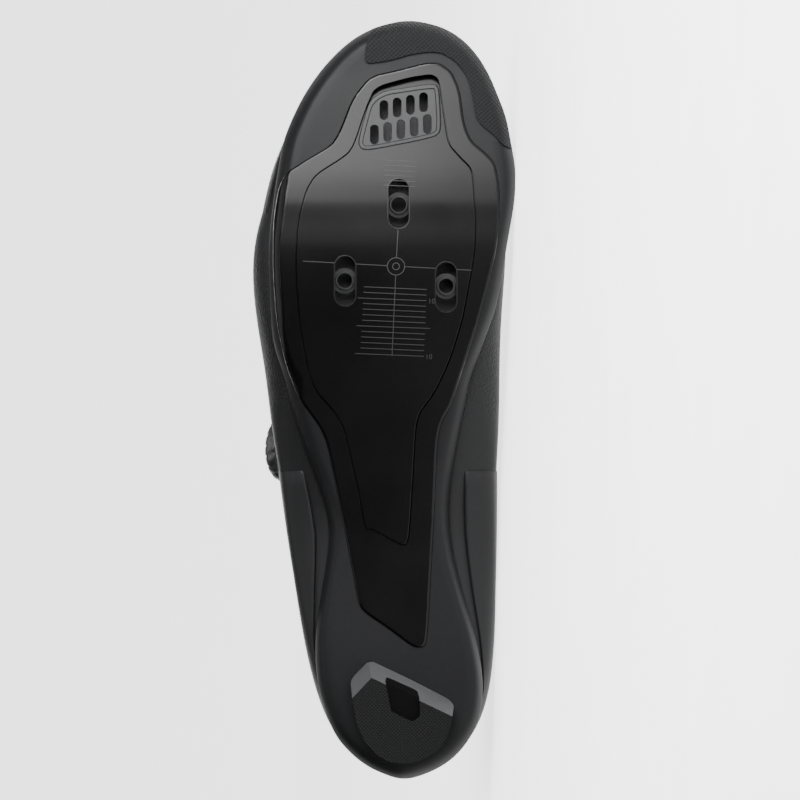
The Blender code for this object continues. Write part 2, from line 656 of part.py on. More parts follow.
def make_tongue():
    """Padded tongue under the throat, its tip above the collar."""
    steps = 12
    back, front = 0.325, 0.755
    outer, inner = [], []
    for k in range(steps + 1):
        at = back + (front - back) * k / steps
        tip = math.sqrt(clamp((at - back + 0.004) / 0.05))
        reach = math.radians(37 - 8 * ease(at, 0.5, 0.75)) * (0.35 + 0.65 * tip)
        thin = 0.6 if k in (0, steps) else 1.0
        outer.append(ridge_section(at, reach, -UPPER_WALL / 2))
        inner.append(ridge_section(at, reach, -UPPER_WALL - CLEARANCE - TONGUE_THICKNESS * thin))
    tongue = closed_grid("tongue", outer, inner, False)
    boolean(tongue, last_form("inside_form", -UPPER_WALL - CLEARANCE), "INTERSECT")
    return ride_on(settle(tongue), "knit")


def under_place(at, across):
    return Vector((at * LENGTH, across * WIDTH, underside(at * LENGTH)))


def make_sole():
    """Base shell, glossy plate, cleat panel, vent tray, bumper and heel pad on one underside."""
    below, above = -0.02, 0.06
    base = sole_body("outsole", 0.0, None)
    plate_room = sole_body("plate_room", -0.004, PLATE_DEPTH + 1.6 * CLEARANCE, CUTTERS)
    boolean(plate_room, prism("plate_hole", PLATE_OUTLINE, below, above, grow=CLEARANCE), "INTERSECT")
    bumper_room = sole_body("bumper_room", -0.004, BUMPER_DEPTH + 1.6 * CLEARANCE, CUTTERS, beyond=0.004)
    boolean(bumper_room, prism("bumper_hole", BUMPER_OUTLINE, below, above, grow=CLEARANCE), "INTERSECT")
    settle(plate_room)
    settle(bumper_room)
    boolean(base, plate_room, "DIFFERENCE")
    boolean(base, bumper_room, "DIFFERENCE")
    boolean(base, prism("vent_hole", VENT_WINDOW, below, above), "DIFFERENCE")

    plate = sole_body("sole_plate", -PLATE_PROUD, PLATE_DEPTH)
    boolean(plate, prism("plate_block", PLATE_OUTLINE, below, above), "INTERSECT")
    panel_room = sole_body("panel_room", -0.004, PANEL_DEPTH + 1.6 * CLEARANCE, CUTTERS)
    boolean(panel_room, prism("panel_hole", PANEL_OUTLINE, below, above, grow=GROOVE / 2), "INTERSECT")
    settle(panel_room)
    boolean(plate, panel_room, "DIFFERENCE")
    boolean(plate, prism("vent_through", VENT_WINDOW, below, above), "DIFFERENCE")

    panel = sole_body("cleat_panel", PANEL_SUNK - PLATE_PROUD, PANEL_DEPTH)
    boolean(panel, prism("panel_block", PANEL_OUTLINE, below, above, grow=-GROOVE / 2), "INTERSECT")
    boolean(panel, prism("vent_opening", VENT_OUTLINE, below, above, grow=CLEARANCE), "DIFFERENCE")

    tray = sole_body("vent_tray", VENT_SUNK - PLATE_PROUD, PANEL_DEPTH)
    boolean(tray, prism("tray_block", VENT_OUTLINE, below, above), "INTERSECT")
    for row, (at, across, count) in enumerate(VENT_ROWS):
        for k in range(count):
            first = Vector((at * LENGTH, across * WIDTH))
            centre = first + k * VENT_PITCH * Vector((math.sin(VENT_ROW_ANGLE), math.cos(VENT_ROW_ANGLE)))
            cut = slot_cutter(f"vent_cut_{row}_{k}", centre, VENT_SLOT_WIDTH, VENT_SLOT_LENGTH, below, above)
            boolean(tray, cut, "DIFFERENCE")

    for name, slot_at, slot_across, nut_at, nut_across in CLEAT_SLOTS:
        centre = under_place(slot_at, slot_across)
        slot = slot_cutter(f"slot_{name}", centre.xy, CLEAT_SLOT_WIDTH, CLEAT_SLOT_LENGTH, below, above)
        boolean(panel, slot, "DIFFERENCE")
        boolean(plate, slot, "DIFFERENCE")
        room_width = 2 * NUT_FLANGE_RADIUS + 2 * CLEARANCE
        room = slot_cutter(f"channel_{name}", centre.xy, room_width,
                           CLEAT_SLOT_LENGTH + room_width - CLEAT_SLOT_WIDTH, below, above)
        boolean(base, room, "DIFFERENCE")
        nut = under_place(nut_at, nut_across)
        face = PANEL_SUNK - PLATE_PROUD + NUT_SUNK
        seat = PLATE_DEPTH + 2 * CLEARANCE
        profile = ((NUT_BORE_RADIUS, face), (NUT_RADIUS, face), (NUT_RADIUS, seat),
                   (NUT_FLANGE_RADIUS, seat), (NUT_FLANGE_RADIUS, seat + NUT_FLANGE),
                   (NUT_BORE_RADIUS, seat + NUT_FLANGE))
        ride_on(turned(f"cleat_nut_{name}", profile, nut, Vector((0, 0, 1))), "nut")

    bumper = sole_body("toe_bumper", -BUMPER_PROUD, BUMPER_DEPTH)
    boolean(bumper, prism("bumper_block", BUMPER_OUTLINE, below, above), "INTERSECT")

    for piece, material in ((base, "base"), (plate, "gloss"), (panel, "gloss"), (tray, "gloss"),
                            (bumper, "rubber")):
        ride_on(settle(piece), material)


def make_heel_pad():
    """Rubber heel block with a sloped front and a window with a dark insert."""
    pad = prism("heel_pad", HEEL_PAD_OUTLINE, 0.0, HEEL_LIFT + SOLE_THICKNESS, PARTS)
    over = sole_body("heel_room", -CLEARANCE, 0.03, CUTTERS, beyond=0.004)
    boolean(pad, over, "DIFFERENCE")
    corner, apex, far = (Vector((at * LENGTH, across * WIDTH, 0.0)) for at, across in HEEL_SLOPE)
    for name, (start, end) in {"pad_front": (apex, far), "pad_corner": (corner, apex)}.items():
        flow = (end - start).normalized()
        out = Vector((-flow.y, flow.x, 0.0))
        out = out if out.x > 0 else -out
        lean = 0.0052
        bm = bmesh.new()
        bmesh.ops.create_cube(bm, size=1.0)
        for vert in bm.verts:
            side, depth, rise = vert.co
            foot = (start + end) / 2 + flow * side * 0.06
            slide = lean * (rise + 0.5) * 1.2
            vert.co = foot + out * (slide + (depth + 0.5) * 0.03) + Vector((0, 0, -0.001 + (rise + 0.5) * 0.018))
        boolean(pad, keep(bm, name, CUTTERS), "DIFFERENCE")
    window = prism("pad_window", HEEL_WINDOW_OUTLINE, -0.01, 0.012, grow=CLEARANCE)
    boolean(pad, window, "DIFFERENCE")
    insert = prism("heel_insert", HEEL_WINDOW_OUTLINE, 0.0008, 0.0117, PARTS)
    for name in ("pad_front", "pad_corner"):
        boolean(insert, bpy.data.objects[name], "DIFFERENCE")
    ride_on(settle(pad), "rubber")
    ride_on(settle(insert), "insert")


def dial_place():
    """The dial's seat on the outer side of the wall, and its axis."""
    u = 2.0 * math.pi - turn(DIAL_AT)
    low = LINE["belly"](DIAL_AT) * INSTEP_HEIGHT
    high = LINE["ridge"](along(RIDGE_SPAN, DIAL_AT) / LENGTH) * INSTEP_HEIGHT
    phi = math.asin(clamp((DIAL_RISE * INSTEP_HEIGHT - low) / (high - low)))
    return skin(u, phi), Vector((0.05, -math.cos(DIAL_TILT), math.sin(DIAL_TILT))).normalized()


def make_dial():
    """Lace dial on the outer side: a housing shaped to the wall and a knurled knob."""
    seat, axis = dial_place()
    out = DIAL_BASE_HEIGHT
    housing = turned("dial_base", ((0.0, -0.012), (DIAL_BASE_RADIUS, -0.012), (DIAL_BASE_RADIUS, out - 0.0008),
                                   (DIAL_BASE_RADIUS - 0.0008, out), (0.0, out)), seat, axis)
    boolean(housing, WALL_FORM, "DIFFERENCE")
    ride_on(settle(housing), "dial")
    start = out + CLEARANCE
    end = start + DIAL_HEIGHT
    knob = ((0.0, start), (DIAL_RADIUS - 0.001, start), (DIAL_RADIUS, start + 0.001),
            (DIAL_RADIUS, end - 0.002), (DIAL_RADIUS - 0.002, end), (0.0, end))
    ride_on(turned("dial_knob", knob, seat, axis), "dial")


def lace_place(at, way, lift=None):
    """A place on the lacing: way is 0 at the ridge, 1 at the inner guides, -1 at the outer ones."""
    share = (at - RIDGE_SPAN[0]) / (RIDGE_SPAN[1] - RIDGE_SPAN[0])
    u = turn(share) if way >= 0.0 else 2.0 * math.pi - turn(share)
    end = mouth(u)
    girth = (skin(u, end) - skin(u, 0.0)).length
    reach = math.pi / 2 - end * (1.0 - GUIDE_BACK / girth)
    if lift is None:
        lift = LACE_DIP + (LACE_LIFT - LACE_DIP) * min(abs(way), 1.0) ** 1.5
    return skin(u, math.pi / 2 - reach * abs(way), lift)


def lace_route():
    """The lace's middle line: out of the dial, through each guide in turn, and into the last one."""
    reach = 0.64 * GUIDE_LENGTH / LENGTH
    route = [(GUIDES[0][0] - 0.010, -1.0)]
    for at, side in GUIDES:
        way = 1.0 if side == "inner" else -1.0
        route += [(at - reach, way), (at + reach, way)]
    route[-1] = (GUIDES[-1][0] + 0.3 * GUIDE_LENGTH / LENGTH, route[-1][1])
    for _ in range(2):
        cut = [route[0]]
        for (at, way), (next_at, next_way) in zip(route, route[1:]):
            steps = 4 if abs(next_way - way) > 1.0 else 1
            for k in range(steps):
                low, high = k / steps + 0.22 / steps, (k + 1) / steps - 0.22 / steps
                cut += [(at + (next_at - at) * t, way + (next_way - way) * t) for t in (low, high)]
        route = cut + [route[-1]]
    thin = [route[0]]
    for place in route[1:]:
        if (lace_place(*place) - lace_place(*thin[-1])).length > 0.0030:
            thin.append(place)
    return thin


def lace_tube(name, places, radius, group):
    curve = bpy.data.curves.new(name, "CURVE")
    curve.dimensions = "3D"
    curve.bevel_depth = radius
    curve.bevel_resolution = 1
    curve.use_fill_caps = True
    line = curve.splines.new("POLY")
    line.points.add(len(places) - 1)
    for point, place in zip(line.points, places):
        point.co = (*place, 1.0)
    drawn = bpy.data.objects.new(name, curve)
    bpy.context.scene.collection.objects.link(drawn)
    bpy.context.view_layer.update()
    bm = bmesh.new()
    bm.from_mesh(bpy.data.meshes.new_from_object(drawn.evaluated_get(bpy.context.evaluated_depsgraph_get())))
    bpy.data.objects.remove(drawn)
    return keep(bm, name, group, merge=1e-5)


def make_lacing():
    """Four low guides on the eyestay and the lace that runs through them from the dial."""
    dial = dial_place()[0]
    places = [lace_place(at, way) for at, way in lace_route()]
    while (places[1] - dial).length < DIAL_BASE_RADIUS + 0.001:
        places.pop(0)
    start = dial + (places[1] - dial).normalized() * (DIAL_BASE_RADIUS + 2 * CLEARANCE)
    places[0] = Vector((start.x, start.y, places[1].z + 0.5 * (start.z - places[1].z)))
    ride_on(lace_tube("lace", places, LACE_RADIUS, PARTS), "lace")
    channel = lace_tube("lace_channel", places, LACE_RADIUS + CLEARANCE, CUTTERS)
    crown = LACE_LIFT + LACE_RADIUS + CLEARANCE + GUIDE_SKIN
    for number, (at, side) in enumerate(GUIDES, 1):
        way = 1.0 if side == "inner" else -1.0
        middle = lace_place(at, way, 0.0)
        outer, inner = [], []
        for step in (-0.5, -0.36, 0.0, 0.36, 0.5):
            place_at = at + step * GUIDE_LENGTH / LENGTH
            slide = (lace_place(at, 1.1 * way, 0.0) - middle).length / 0.1
            spread = GUIDE_WIDTH / slide
            top = 0.72 * crown if abs(step) == 0.5 else crown
            outer.append([lace_place(place_at, way * (1.0 + s * spread), h) for s, h in
                          ((-0.5, 0.55 * top), (-0.30, top), (0.30, top), (0.5, 0.55 * top))])
            inner.append([lace_place(place_at, way * (1.0 + s * spread), -UPPER_WALL / 2) for s in
                          (-0.5, -0.30, 0.30, 0.5)])
        guide = closed_grid(f"lace_guide_{number}", outer, inner, False)
        boolean(guide, WALL_FORM, "DIFFERENCE")
        boolean(guide, channel, "DIFFERENCE")
        ride_on(settle(guide), "overlay")


WALL_FORM = last_form("wall_form", CLEARANCE)
make_upper()
make_insole()
make_tongue()
make_sole()
make_heel_pad()
make_heel_counter()
make_toe_cap()
make_dial()
make_lacing()


def centre_of_weight():
    """The place where the finished pieces balance."""
    weight, moment = 0.0, Vector()
    for obj in PARTS.objects:
        density = MATERIALS[obj.data.materials[0].name][3]
        probe = bmesh.new()
        probe.from_mesh(obj.data)
        bmesh.ops.triangulate(probe, faces=probe.faces)
        for face in probe.faces:
            a, b, c = (v.co for v in face.verts)
            share = density * a.dot(b.cross(c)) / 6.0
            weight += share
            moment += share * (a + b + c) / 4.0
        probe.free()
    return moment / weight


def resting_normal(centre):
    """The outward normal of the hull's face that the shoe lies on, of those that carry its weight."""
    bm = bmesh.new()
    for obj in PARTS.objects:
        for vert in obj.data.vertices:
            bm.verts.new(vert.co)
    hull = bmesh.ops.convex_hull(bm, input=bm.verts)["geom"]
    resting = None
    for face in [f for f in hull if isinstance(f, bmesh.types.BMFace)]:
        face.normal_update()
        outward_of = face.calc_center_median() - centre
        normal = face.normal * math.copysign(1.0, face.normal.dot(outward_of))
        if resting and normal.y < resting.y:
            continue
        foot = centre + normal * (face.verts[0].co - centre).dot(normal)
        corners = [v.co for v in face.verts]
        spins = [(b - a).cross(foot - a).dot(normal) for a, b in zip(corners, corners[1:] + corners[:1])]
        if all(s >= 0 for s in spins) or all(s <= 0 for s in spins):
            resting = normal.copy()
    bm.free()
    return resting


def lay_down():
    """Turn the shoe onto its inner side and centre it over the floor."""
    bpy.context.view_layer.update()
    centre = centre_of_weight()
    normal = resting_normal(centre)
    forward = (Vector((1.0, 0.0, 0.0)) - normal * normal.x).normalized()
    turn_over = Matrix((forward, forward.cross(normal), -normal))
    points = [turn_over @ v.co for obj in PARTS.objects for v in obj.data.vertices]
    low = Vector([min(p[i] for p in points) for i in range(3)])
    high = Vector([max(p[i] for p in points) for i in range(3)])
    middle = (low + high) / 2
    SHOE.matrix_world = Matrix.Translation((-middle.x, -middle.y, -low.z)) @ turn_over.to_4x4()


lay_down()
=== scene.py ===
import math
import bmesh
import bpy
from mathutils import Matrix, Vector
from mathutils.bvhtree import BVHTree


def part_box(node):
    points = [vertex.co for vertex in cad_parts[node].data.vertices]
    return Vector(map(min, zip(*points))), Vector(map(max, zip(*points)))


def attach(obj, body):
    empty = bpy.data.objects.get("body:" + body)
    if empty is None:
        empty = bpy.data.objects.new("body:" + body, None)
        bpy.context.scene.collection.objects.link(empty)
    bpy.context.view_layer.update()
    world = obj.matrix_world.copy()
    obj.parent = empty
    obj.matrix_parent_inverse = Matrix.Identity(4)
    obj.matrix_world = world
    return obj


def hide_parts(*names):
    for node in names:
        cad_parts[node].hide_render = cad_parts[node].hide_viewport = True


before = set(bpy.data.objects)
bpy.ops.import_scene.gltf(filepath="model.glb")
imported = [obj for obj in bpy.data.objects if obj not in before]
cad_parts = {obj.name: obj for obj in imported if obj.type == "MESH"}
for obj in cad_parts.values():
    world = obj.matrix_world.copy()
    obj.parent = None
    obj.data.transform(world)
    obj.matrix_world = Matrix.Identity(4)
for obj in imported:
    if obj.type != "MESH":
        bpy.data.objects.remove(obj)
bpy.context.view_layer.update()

# How the shoe lies
# The shoe is shaped standing, x to the toe, y to the inner side and z up, and then laid on its inner side.
# The centres of the three cleat nuts are known in both frames, so they give the turn from one to the other.
LENGTH, WIDTH = 0.277, 0.0956
HEEL_LIFT, TOE_SPRING = 0.0155, 0.020
# Each row: share of the length, share of the lift under the heel, share of the spring at the toe.
RISE = (
    (0.00, 0.95, 0.00), (0.05, 0.93, 0.00), (0.10, 0.92, 0.00), (0.16, 0.93, 0.00), (0.22, 0.97, 0.00),
    (0.28, 1.00, 0.00), (0.34, 0.99, 0.00), (0.40, 0.88, 0.00), (0.46, 0.68, 0.00), (0.52, 0.45, 0.00),
    (0.58, 0.21, 0.00), (0.64, 0.05, 0.00), (0.70, 0.00, 0.01), (0.735, 0.00, 0.04), (0.76, 0.00, 0.07),
    (0.82, 0.00, 0.19), (0.88, 0.00, 0.39), (0.94, 0.00, 0.66), (1.00, 0.00, 1.00),
)


def turn(share):
    """The angle round a half circle whose shadow falls at this share."""
    return math.acos(max(-1.0, min(1.0, 1.0 - 2.0 * share)))


def curve_through(rows, column):
    """A smooth function through one column of a table, read by the share in its first column."""
    knots = [turn(row[0]) for row in rows]
    values = [row[column] for row in rows]

    def slope(k):
        """How steep the curve is at one knot."""
        before, after = max(k - 1, 0), min(k + 1, len(rows) - 1)
        return (values[after] - values[before]) / (knots[after] - knots[before])

    def read(share):
        """The curve's value at a share."""
        angle = turn(share)
        k = max(i for i in range(len(rows) - 1) if knots[i] <= angle or i == 0)
        span = knots[k + 1] - knots[k]
        t = (angle - knots[k]) / span
        return ((2 * t**3 - 3 * t**2 + 1) * values[k] + (t**3 - 2 * t**2 + t) * slope(k) * span
                + (3 * t**2 - 2 * t**3) * values[k + 1] + (t**3 - t**2) * slope(k + 1) * span)
    return read


arch_rise, spring_rise = curve_through(RISE, 1), curve_through(RISE, 2)


def underside(x):
    """Height of the sole's lower surface at some way from the heel."""
    at = max(0.0, min(1.0, x / LENGTH))
    return HEEL_LIFT * arch_rise(at) + TOE_SPRING * spring_rise(at)


NUTS = {"front": (0.754, -0.005), "lateral": (0.655, -0.209), "medial": (0.648, 0.174)}
NUT_MIDDLE = 0.0026
# NUTS gives each nut's middle as shares of the length and width, NUT_MIDDLE its height over the underside.
standing, lying = [], []
for name, (at, across) in NUTS.items():
    standing.append(Vector((at * LENGTH, across * WIDTH, underside(at * LENGTH) + NUT_MIDDLE)))
    low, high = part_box("cleat_nut_" + name)
    lying.append((low + high) / 2)


def axes_of(a, b, c):
    """The axes that three points give: along, across and up."""
    across = (c - b).normalized()
    up = (a - b).cross(c - b).normalized()
    return Matrix((up.cross(across), across, up)).transposed().to_4x4()


LAID = (Matrix.Translation(lying[0]) @ axes_of(*lying) @ axes_of(*standing).inverted()
        @ Matrix.Translation(-standing[0]))
TOE_WAY, INNER_WAY, UP_WAY = (LAID.to_3x3() @ Vector(v) for v in ((1, 0, 0), (0, 1, 0), (0, 0, 1)))


def placed(name, data):
    """A new object at the origin, in the scene."""
    thing = bpy.data.objects.new(name, data)
    bpy.context.scene.collection.objects.link(thing)
    return thing


def finished(bm, name, material, replaced=None, smooth=True):
    """The standing mesh becomes a laid piece of the shoe with its material."""
    bmesh.ops.transform(bm, matrix=LAID, verts=bm.verts)
    for face in bm.faces:
        face.smooth = smooth
    mesh = bpy.data.meshes.new(name)
    bm.to_mesh(mesh)
    bm.free()
    piece = placed(name, mesh)
    mesh.materials.append(material)
    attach(piece, "root")
    if replaced:
        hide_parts(replaced)
    return piece


# Outsole base
# Matte nylon shell of the sole, injection moulded; its rounded rim turns up to meet the upper.
# The glossy plate and the toe bumper are let into it, and the heel pad is bonded on; vent and bolt slots
# pass through.
SOLE_THICKNESS, EDGE_ROUND = 0.0085, 0.0034
RIM_SHARE, RIM_REACH = 0.72, 1.5
SPINE = (0.11, 0.88)
AROUND = 240
# Each row: share of the length, then the outer and the inner edge as shares of the width.
EDGE = (
    (0.000, 0.015, 0.015), (0.005, -0.050, 0.085), (0.015, -0.115, 0.150), (0.030, -0.175, 0.210),
    (0.055, -0.240, 0.268), (0.085, -0.280, 0.305), (0.130, -0.315, 0.315), (0.185, -0.322, 0.290),
    (0.240, -0.303, 0.244), (0.290, -0.278, 0.207), (0.335, -0.270, 0.188), (0.380, -0.305, 0.189),
    (0.430, -0.358, 0.210), (0.485, -0.408, 0.242), (0.530, -0.441, 0.270), (0.575, -0.480, 0.318),
    (0.630, -0.492, 0.370), (0.700, -0.497, 0.405), (0.760, -0.480, 0.434), (0.800, -0.463, 0.438),
    (0.840, -0.441, 0.420), (0.870, -0.408, 0.403), (0.900, -0.365, 0.372), (0.930, -0.308, 0.335),
    (0.955, -0.245, 0.290), (0.975, -0.178, 0.235), (0.990, -0.098, 0.165), (0.997, -0.030, 0.100),
    (1.000, 0.034, 0.034),
)
outer_edge, inner_edge = curve_through(EDGE, 1), curve_through(EDGE, 2)


def sole_place(u, inset):
    """A place in the sole's plan, some way inside its edge; u runs from the heel by the inner side."""
    share = 0.5 * (1.0 - math.cos(u))
    inner, outer = inner_edge(share), outer_edge(share)
    edge = Vector((share * LENGTH, (inner if u <= math.pi else outer) * WIDTH))
    middle = Vector(((SPINE[0] + (SPINE[1] - SPINE[0]) * share) * LENGTH, 0.5 * (inner + outer) * WIDTH))
    return edge + (middle - edge) * min(inset / (edge - middle).length, 1.0)


def rim_rise(inset):
    """How far the rounded rim has turned up, some way inside the sole's edge."""
    return RIM_SHARE * SOLE_THICKNESS * max(0.0, 1.0 - max(inset, 0.0) / (RIM_REACH * EDGE_ROUND)) ** 2


def ring(bm, around, inset, height):
    """A closed loop of the sole's plan; height is a function of the place and the inset."""
    verts = []
    for k in range(around):
        place = sole_place(2.0 * math.pi * k / around, inset)
        verts.append(bm.verts.new((place.x, place.y, height(place.x, inset))))
    return [bm.edges.new((verts[k], verts[(k + 1) % around])) for k in range(around)]


def over_sole(around, layers):
    """A body through a stack of loops, each given as its inset and its height above the underside."""
    bm = bmesh.new()
    last = None
    for inset, height in layers:
        loop = ring(bm, around, inset, height)
        if last:
            bmesh.ops.bridge_loops(bm, edges=last + loop)
        last = loop
    bmesh.ops.remove_doubles(bm, verts=bm.verts, dist=2e-5)
    bmesh.ops.dissolve_degenerate(bm, edges=bm.edges, dist=2e-5)
    bmesh.ops.holes_fill(bm, edges=[e for e in bm.edges if e.is_boundary], sides=0)
    bmesh.ops.recalc_face_normals(bm, faces=bm.faces)
    return bm


def on_underside(x, inset):
    """Height of the lower surface, with its rim."""
    return underside(x) + rim_rise(inset)


INSETS = (0.0, 0.0004, 0.0009, 0.0015, 0.0022, 0.0030, 0.0040, 0.0051,
          0.008, 0.012, 0.018, 0.026, 0.036, 1.0)
BEYOND = (-0.004, -0.002)
form = over_sole(AROUND, [(inset, on_underside) for inset in BEYOND + INSETS])
UNDERSIDE_FORM = BVHTree.FromBMesh(form)
form.free()
BLEND_FROM, BLEND_OVER = 0.0001, 0.0003


def height_at(x, y):
    """The underside's height: its own curve in the middle, and the rounded rim near the edge."""
    hit = UNDERSIDE_FORM.ray_cast(Vector((x, y, -0.05)), Vector((0, 0, 1)))[0]
    rise = hit.z - underside(x) if hit else 0.0
    share = max(0.0, min(1.0, (rise - BLEND_FROM) / BLEND_OVER))
    return underside(x) + rise * share * share * (3.0 - 2.0 * share)


def moulded(name, colour, roughness, grain, depth, metallic=0.0, shine=0.5):
    """Moulded plastic or rubber: a fine grain in the bump, with a slow drift in gloss and colour."""
    material = bpy.data.materials.new(name)
    material.use_nodes = True
    tree = material.node_tree
    shader = tree.nodes["Principled BSDF"]
    shader.inputs["Metallic"].default_value = metallic
    shader.inputs["Specular IOR Level"].default_value = shine
    where = tree.nodes.new("ShaderNodeTexCoord")
    fine = tree.nodes.new("ShaderNodeTexNoise")
    fine.inputs["Scale"].default_value = 1.0 / grain
    fine.inputs["Detail"].default_value = 3.0
    slow = tree.nodes.new("ShaderNodeTexNoise")
    slow.inputs["Scale"].default_value = 28.0
    slow.inputs["Detail"].default_value = 4.0
    bump = tree.nodes.new("ShaderNodeBump")
    bump.inputs["Strength"].default_value = 1.0
    bump.inputs["Distance"].default_value = depth
    gloss = tree.nodes.new("ShaderNodeMapRange")
    gloss.inputs["To Min"].default_value = max(0.02, roughness - 0.06)
    gloss.inputs["To Max"].default_value = min(1.0, roughness + 0.06)
    shade = tree.nodes.new("ShaderNodeMix")
    shade.data_type = "RGBA"
    shade.inputs["A"].default_value = (*[0.88 * c for c in colour], 1.0)
    shade.inputs["B"].default_value = (*[1.12 * c for c in colour], 1.0)
    for noise in (fine, slow):
        tree.links.new(where.outputs["Object"], noise.inputs["Vector"])
    tree.links.new(fine.outputs["Fac"], bump.inputs["Height"])
    tree.links.new(slow.outputs["Fac"], gloss.inputs["Value"])
    tree.links.new(slow.outputs["Fac"], shade.inputs["Factor"])
    tree.links.new(shade.outputs["Result"], shader.inputs["Base Color"])
    tree.links.new(gloss.outputs["Result"], shader.inputs["Roughness"])
    tree.links.new(bump.outputs["Normal"], shader.inputs["Normal"])
    return material


def blank(outline, round_share=30.0, grow=0.0):
    """A flat face over an outline given in shares of the shoe's length and width, its corners rounded."""
    bm = bmesh.new()
    corners = [bm.verts.new((at * LENGTH, across * WIDTH, 0.0)) for at, across in outline]
    bm.faces.new(corners)
    bmesh.ops.bevel(bm, geom=corners, offset=round_share, offset_type="PERCENT", segments=5, profile=0.5,
                    affect="VERTICES", material=-1)
    bmesh.ops.recalc_face_normals(bm, faces=bm.faces)
    if grow:
        rim = bmesh.ops.inset_region(bm, faces=bm.faces, thickness=abs(grow), use_boundary=True,
                                     use_even_offset=True, use_outset=grow > 0)["faces"]
        if grow < 0:
            bmesh.ops.delete(bm, geom=rim, context="FACES")
    return bm


def extruded(bm, way):
    """Turn every face to the ground, extrude them all and move what is new."""
    for face in bm.faces:
        if face.normal.z > 0:
            face.normal_flip()
    made = bmesh.ops.extrude_face_region(bm, geom=bm.faces[:])["geom"]
    bmesh.ops.translate(bm, verts=[v for v in made if isinstance(v, bmesh.types.BMVert)], vec=way)


def thickened(bm, depth):
    """Extrude a flat blank upwards from the sole's lower surface."""
    extruded(bm, (0, 0, depth))
    bmesh.ops.recalc_face_normals(bm, faces=bm.faces)


def sliced(bm, place, way, **more):
    """Cut a whole mesh along one plane."""
    bmesh.ops.bisect_plane(bm, geom=bm.verts[:] + bm.edges[:] + bm.faces[:], dist=1e-6, plane_co=place,
                           plane_no=way, **more)


BEND_STEP = 0.0016
BROAD, RIM_STEP, RIM_SLICES = 0.06, 0.0005, 15


def bent(bm):
    """Divide a flat piece finely and lay it on the sole's curved underside.

    A broad piece reaches the steep rim at the outer side and is divided more finely there.
    """
    low, high = [Vector([pick(v.co[i] for v in bm.verts) for i in range(3)]) for pick in (min, max)]
    for axis in (0, 1):
        way = Vector((1 - axis, axis, 0))
        for k in range(1, int((high[axis] - low[axis]) / BEND_STEP) + 1):
            sliced(bm, way * (low[axis] + k * BEND_STEP), way)
    if high.y - low.y > BROAD:
        for k in range(1, RIM_SLICES + 1):
            sliced(bm, (0, low.y + k * RIM_STEP, 0), (0, 1, 0))
    for vert in bm.verts:
        vert.co.z += height_at(vert.co.x, vert.co.y)
    return bm


def cut(piece, cutter, keep_inside=False):
    """Cut a piece with another body and keep the result as its mesh."""
    modifier = piece.modifiers.new("cut", "BOOLEAN")
    modifier.operation = "INTERSECT" if keep_inside else "DIFFERENCE"
    modifier.solver = "EXACT"
    modifier.object = cutter
    seen = piece.evaluated_get(bpy.context.evaluated_depsgraph_get())
    mesh = bpy.data.meshes.new_from_object(seen)
    piece.modifiers.remove(modifier)
    piece.data = mesh
    bpy.data.objects.remove(cutter)


def cutter_from(bm):
    """A standing mesh, laid and made ready to cut with."""
    bmesh.ops.transform(bm, matrix=LAID, verts=bm.verts)
    bmesh.ops.recalc_face_normals(bm, faces=bm.faces)
    mesh = bpy.data.meshes.new("cutter")
    bm.to_mesh(mesh)
    bm.free()
    tool = placed("cutter", mesh)
    bpy.context.view_layer.update()
    return tool


PLATE_DEPTH, BUMPER_DEPTH, CLEARANCE, PLATE_SEAM = 0.0030, 0.0018, 0.0003, 0.00008
# Outlines are corners in the sole's plan, as shares of the length from the heel and of the width.
PLATE = (
    (0.924, -0.114), (0.933, 0.000), (0.942, 0.098), (0.942, 0.150), (0.930, 0.198), (0.905, 0.228),
    (0.860, 0.244), (0.838, 0.270), (0.822, 0.325), (0.810, 0.358), (0.787, 0.374), (0.755, 0.379),
    (0.700, 0.369), (0.650, 0.335), (0.600, 0.296), (0.545, 0.244), (0.494, 0.197), (0.470, 0.158),
    (0.444, 0.142), (0.342, 0.130), (0.238, 0.114), (0.185, 0.105), (0.174, 0.092), (0.174, 0.050),
    (0.197, -0.038), (0.222, -0.144), (0.236, -0.162), (0.290, -0.189), (0.361, -0.231), (0.440, -0.276),
    (0.463, -0.303), (0.502, -0.386), (0.545, -0.435), (0.604, -0.470), (0.669, -0.483), (0.735, -0.481),
    (0.775, -0.463), (0.795, -0.435), (0.812, -0.360), (0.832, -0.262), (0.850, -0.230), (0.894, -0.182),
)
BUMPER = (
    (1.020, -0.095), (0.984, -0.110), (0.965, -0.131), (0.946, -0.135), (0.941, -0.121), (0.945, -0.038),
    (0.953, 0.038), (0.957, 0.114), (0.955, 0.162), (0.944, 0.212), (0.925, 0.253), (0.900, 0.273),
    (0.872, 0.285), (0.860, 0.305), (0.845, 0.358), (0.834, 0.386), (0.828, 0.420), (0.826, 0.520),
    (1.020, 0.520),
)
matte_base = moulded("matte_nylon_base", (0.0046, 0.0047, 0.0051),
                     roughness=0.44, grain=0.0005, depth=0.00003, shine=0.07)
TOP_CHAMFER = 0.0005
TOP_INSETS = (1.0, 0.02, 0.006, 0.0006)
base_layers = [(inset, lambda x, inset: underside(x) + SOLE_THICKNESS) for inset in TOP_INSETS]
base_layers += [(0.0, lambda x, inset: underside(x) + SOLE_THICKNESS - TOP_CHAMFER)]
base_layers += [(inset, on_underside) for inset in INSETS]
base = finished(over_sole(AROUND, base_layers), "sole_base", matte_base, "outsole")


def room_for(outline, depth, grow=0.0, below=0.006):
    """The hollow that a blank of this outline and depth is let into."""
    room = blank(outline, grow=grow)
    thickened(room, depth + below)
    bmesh.ops.translate(room, verts=room.verts, vec=(0, 0, -below))
    return cutter_from(bent(room))


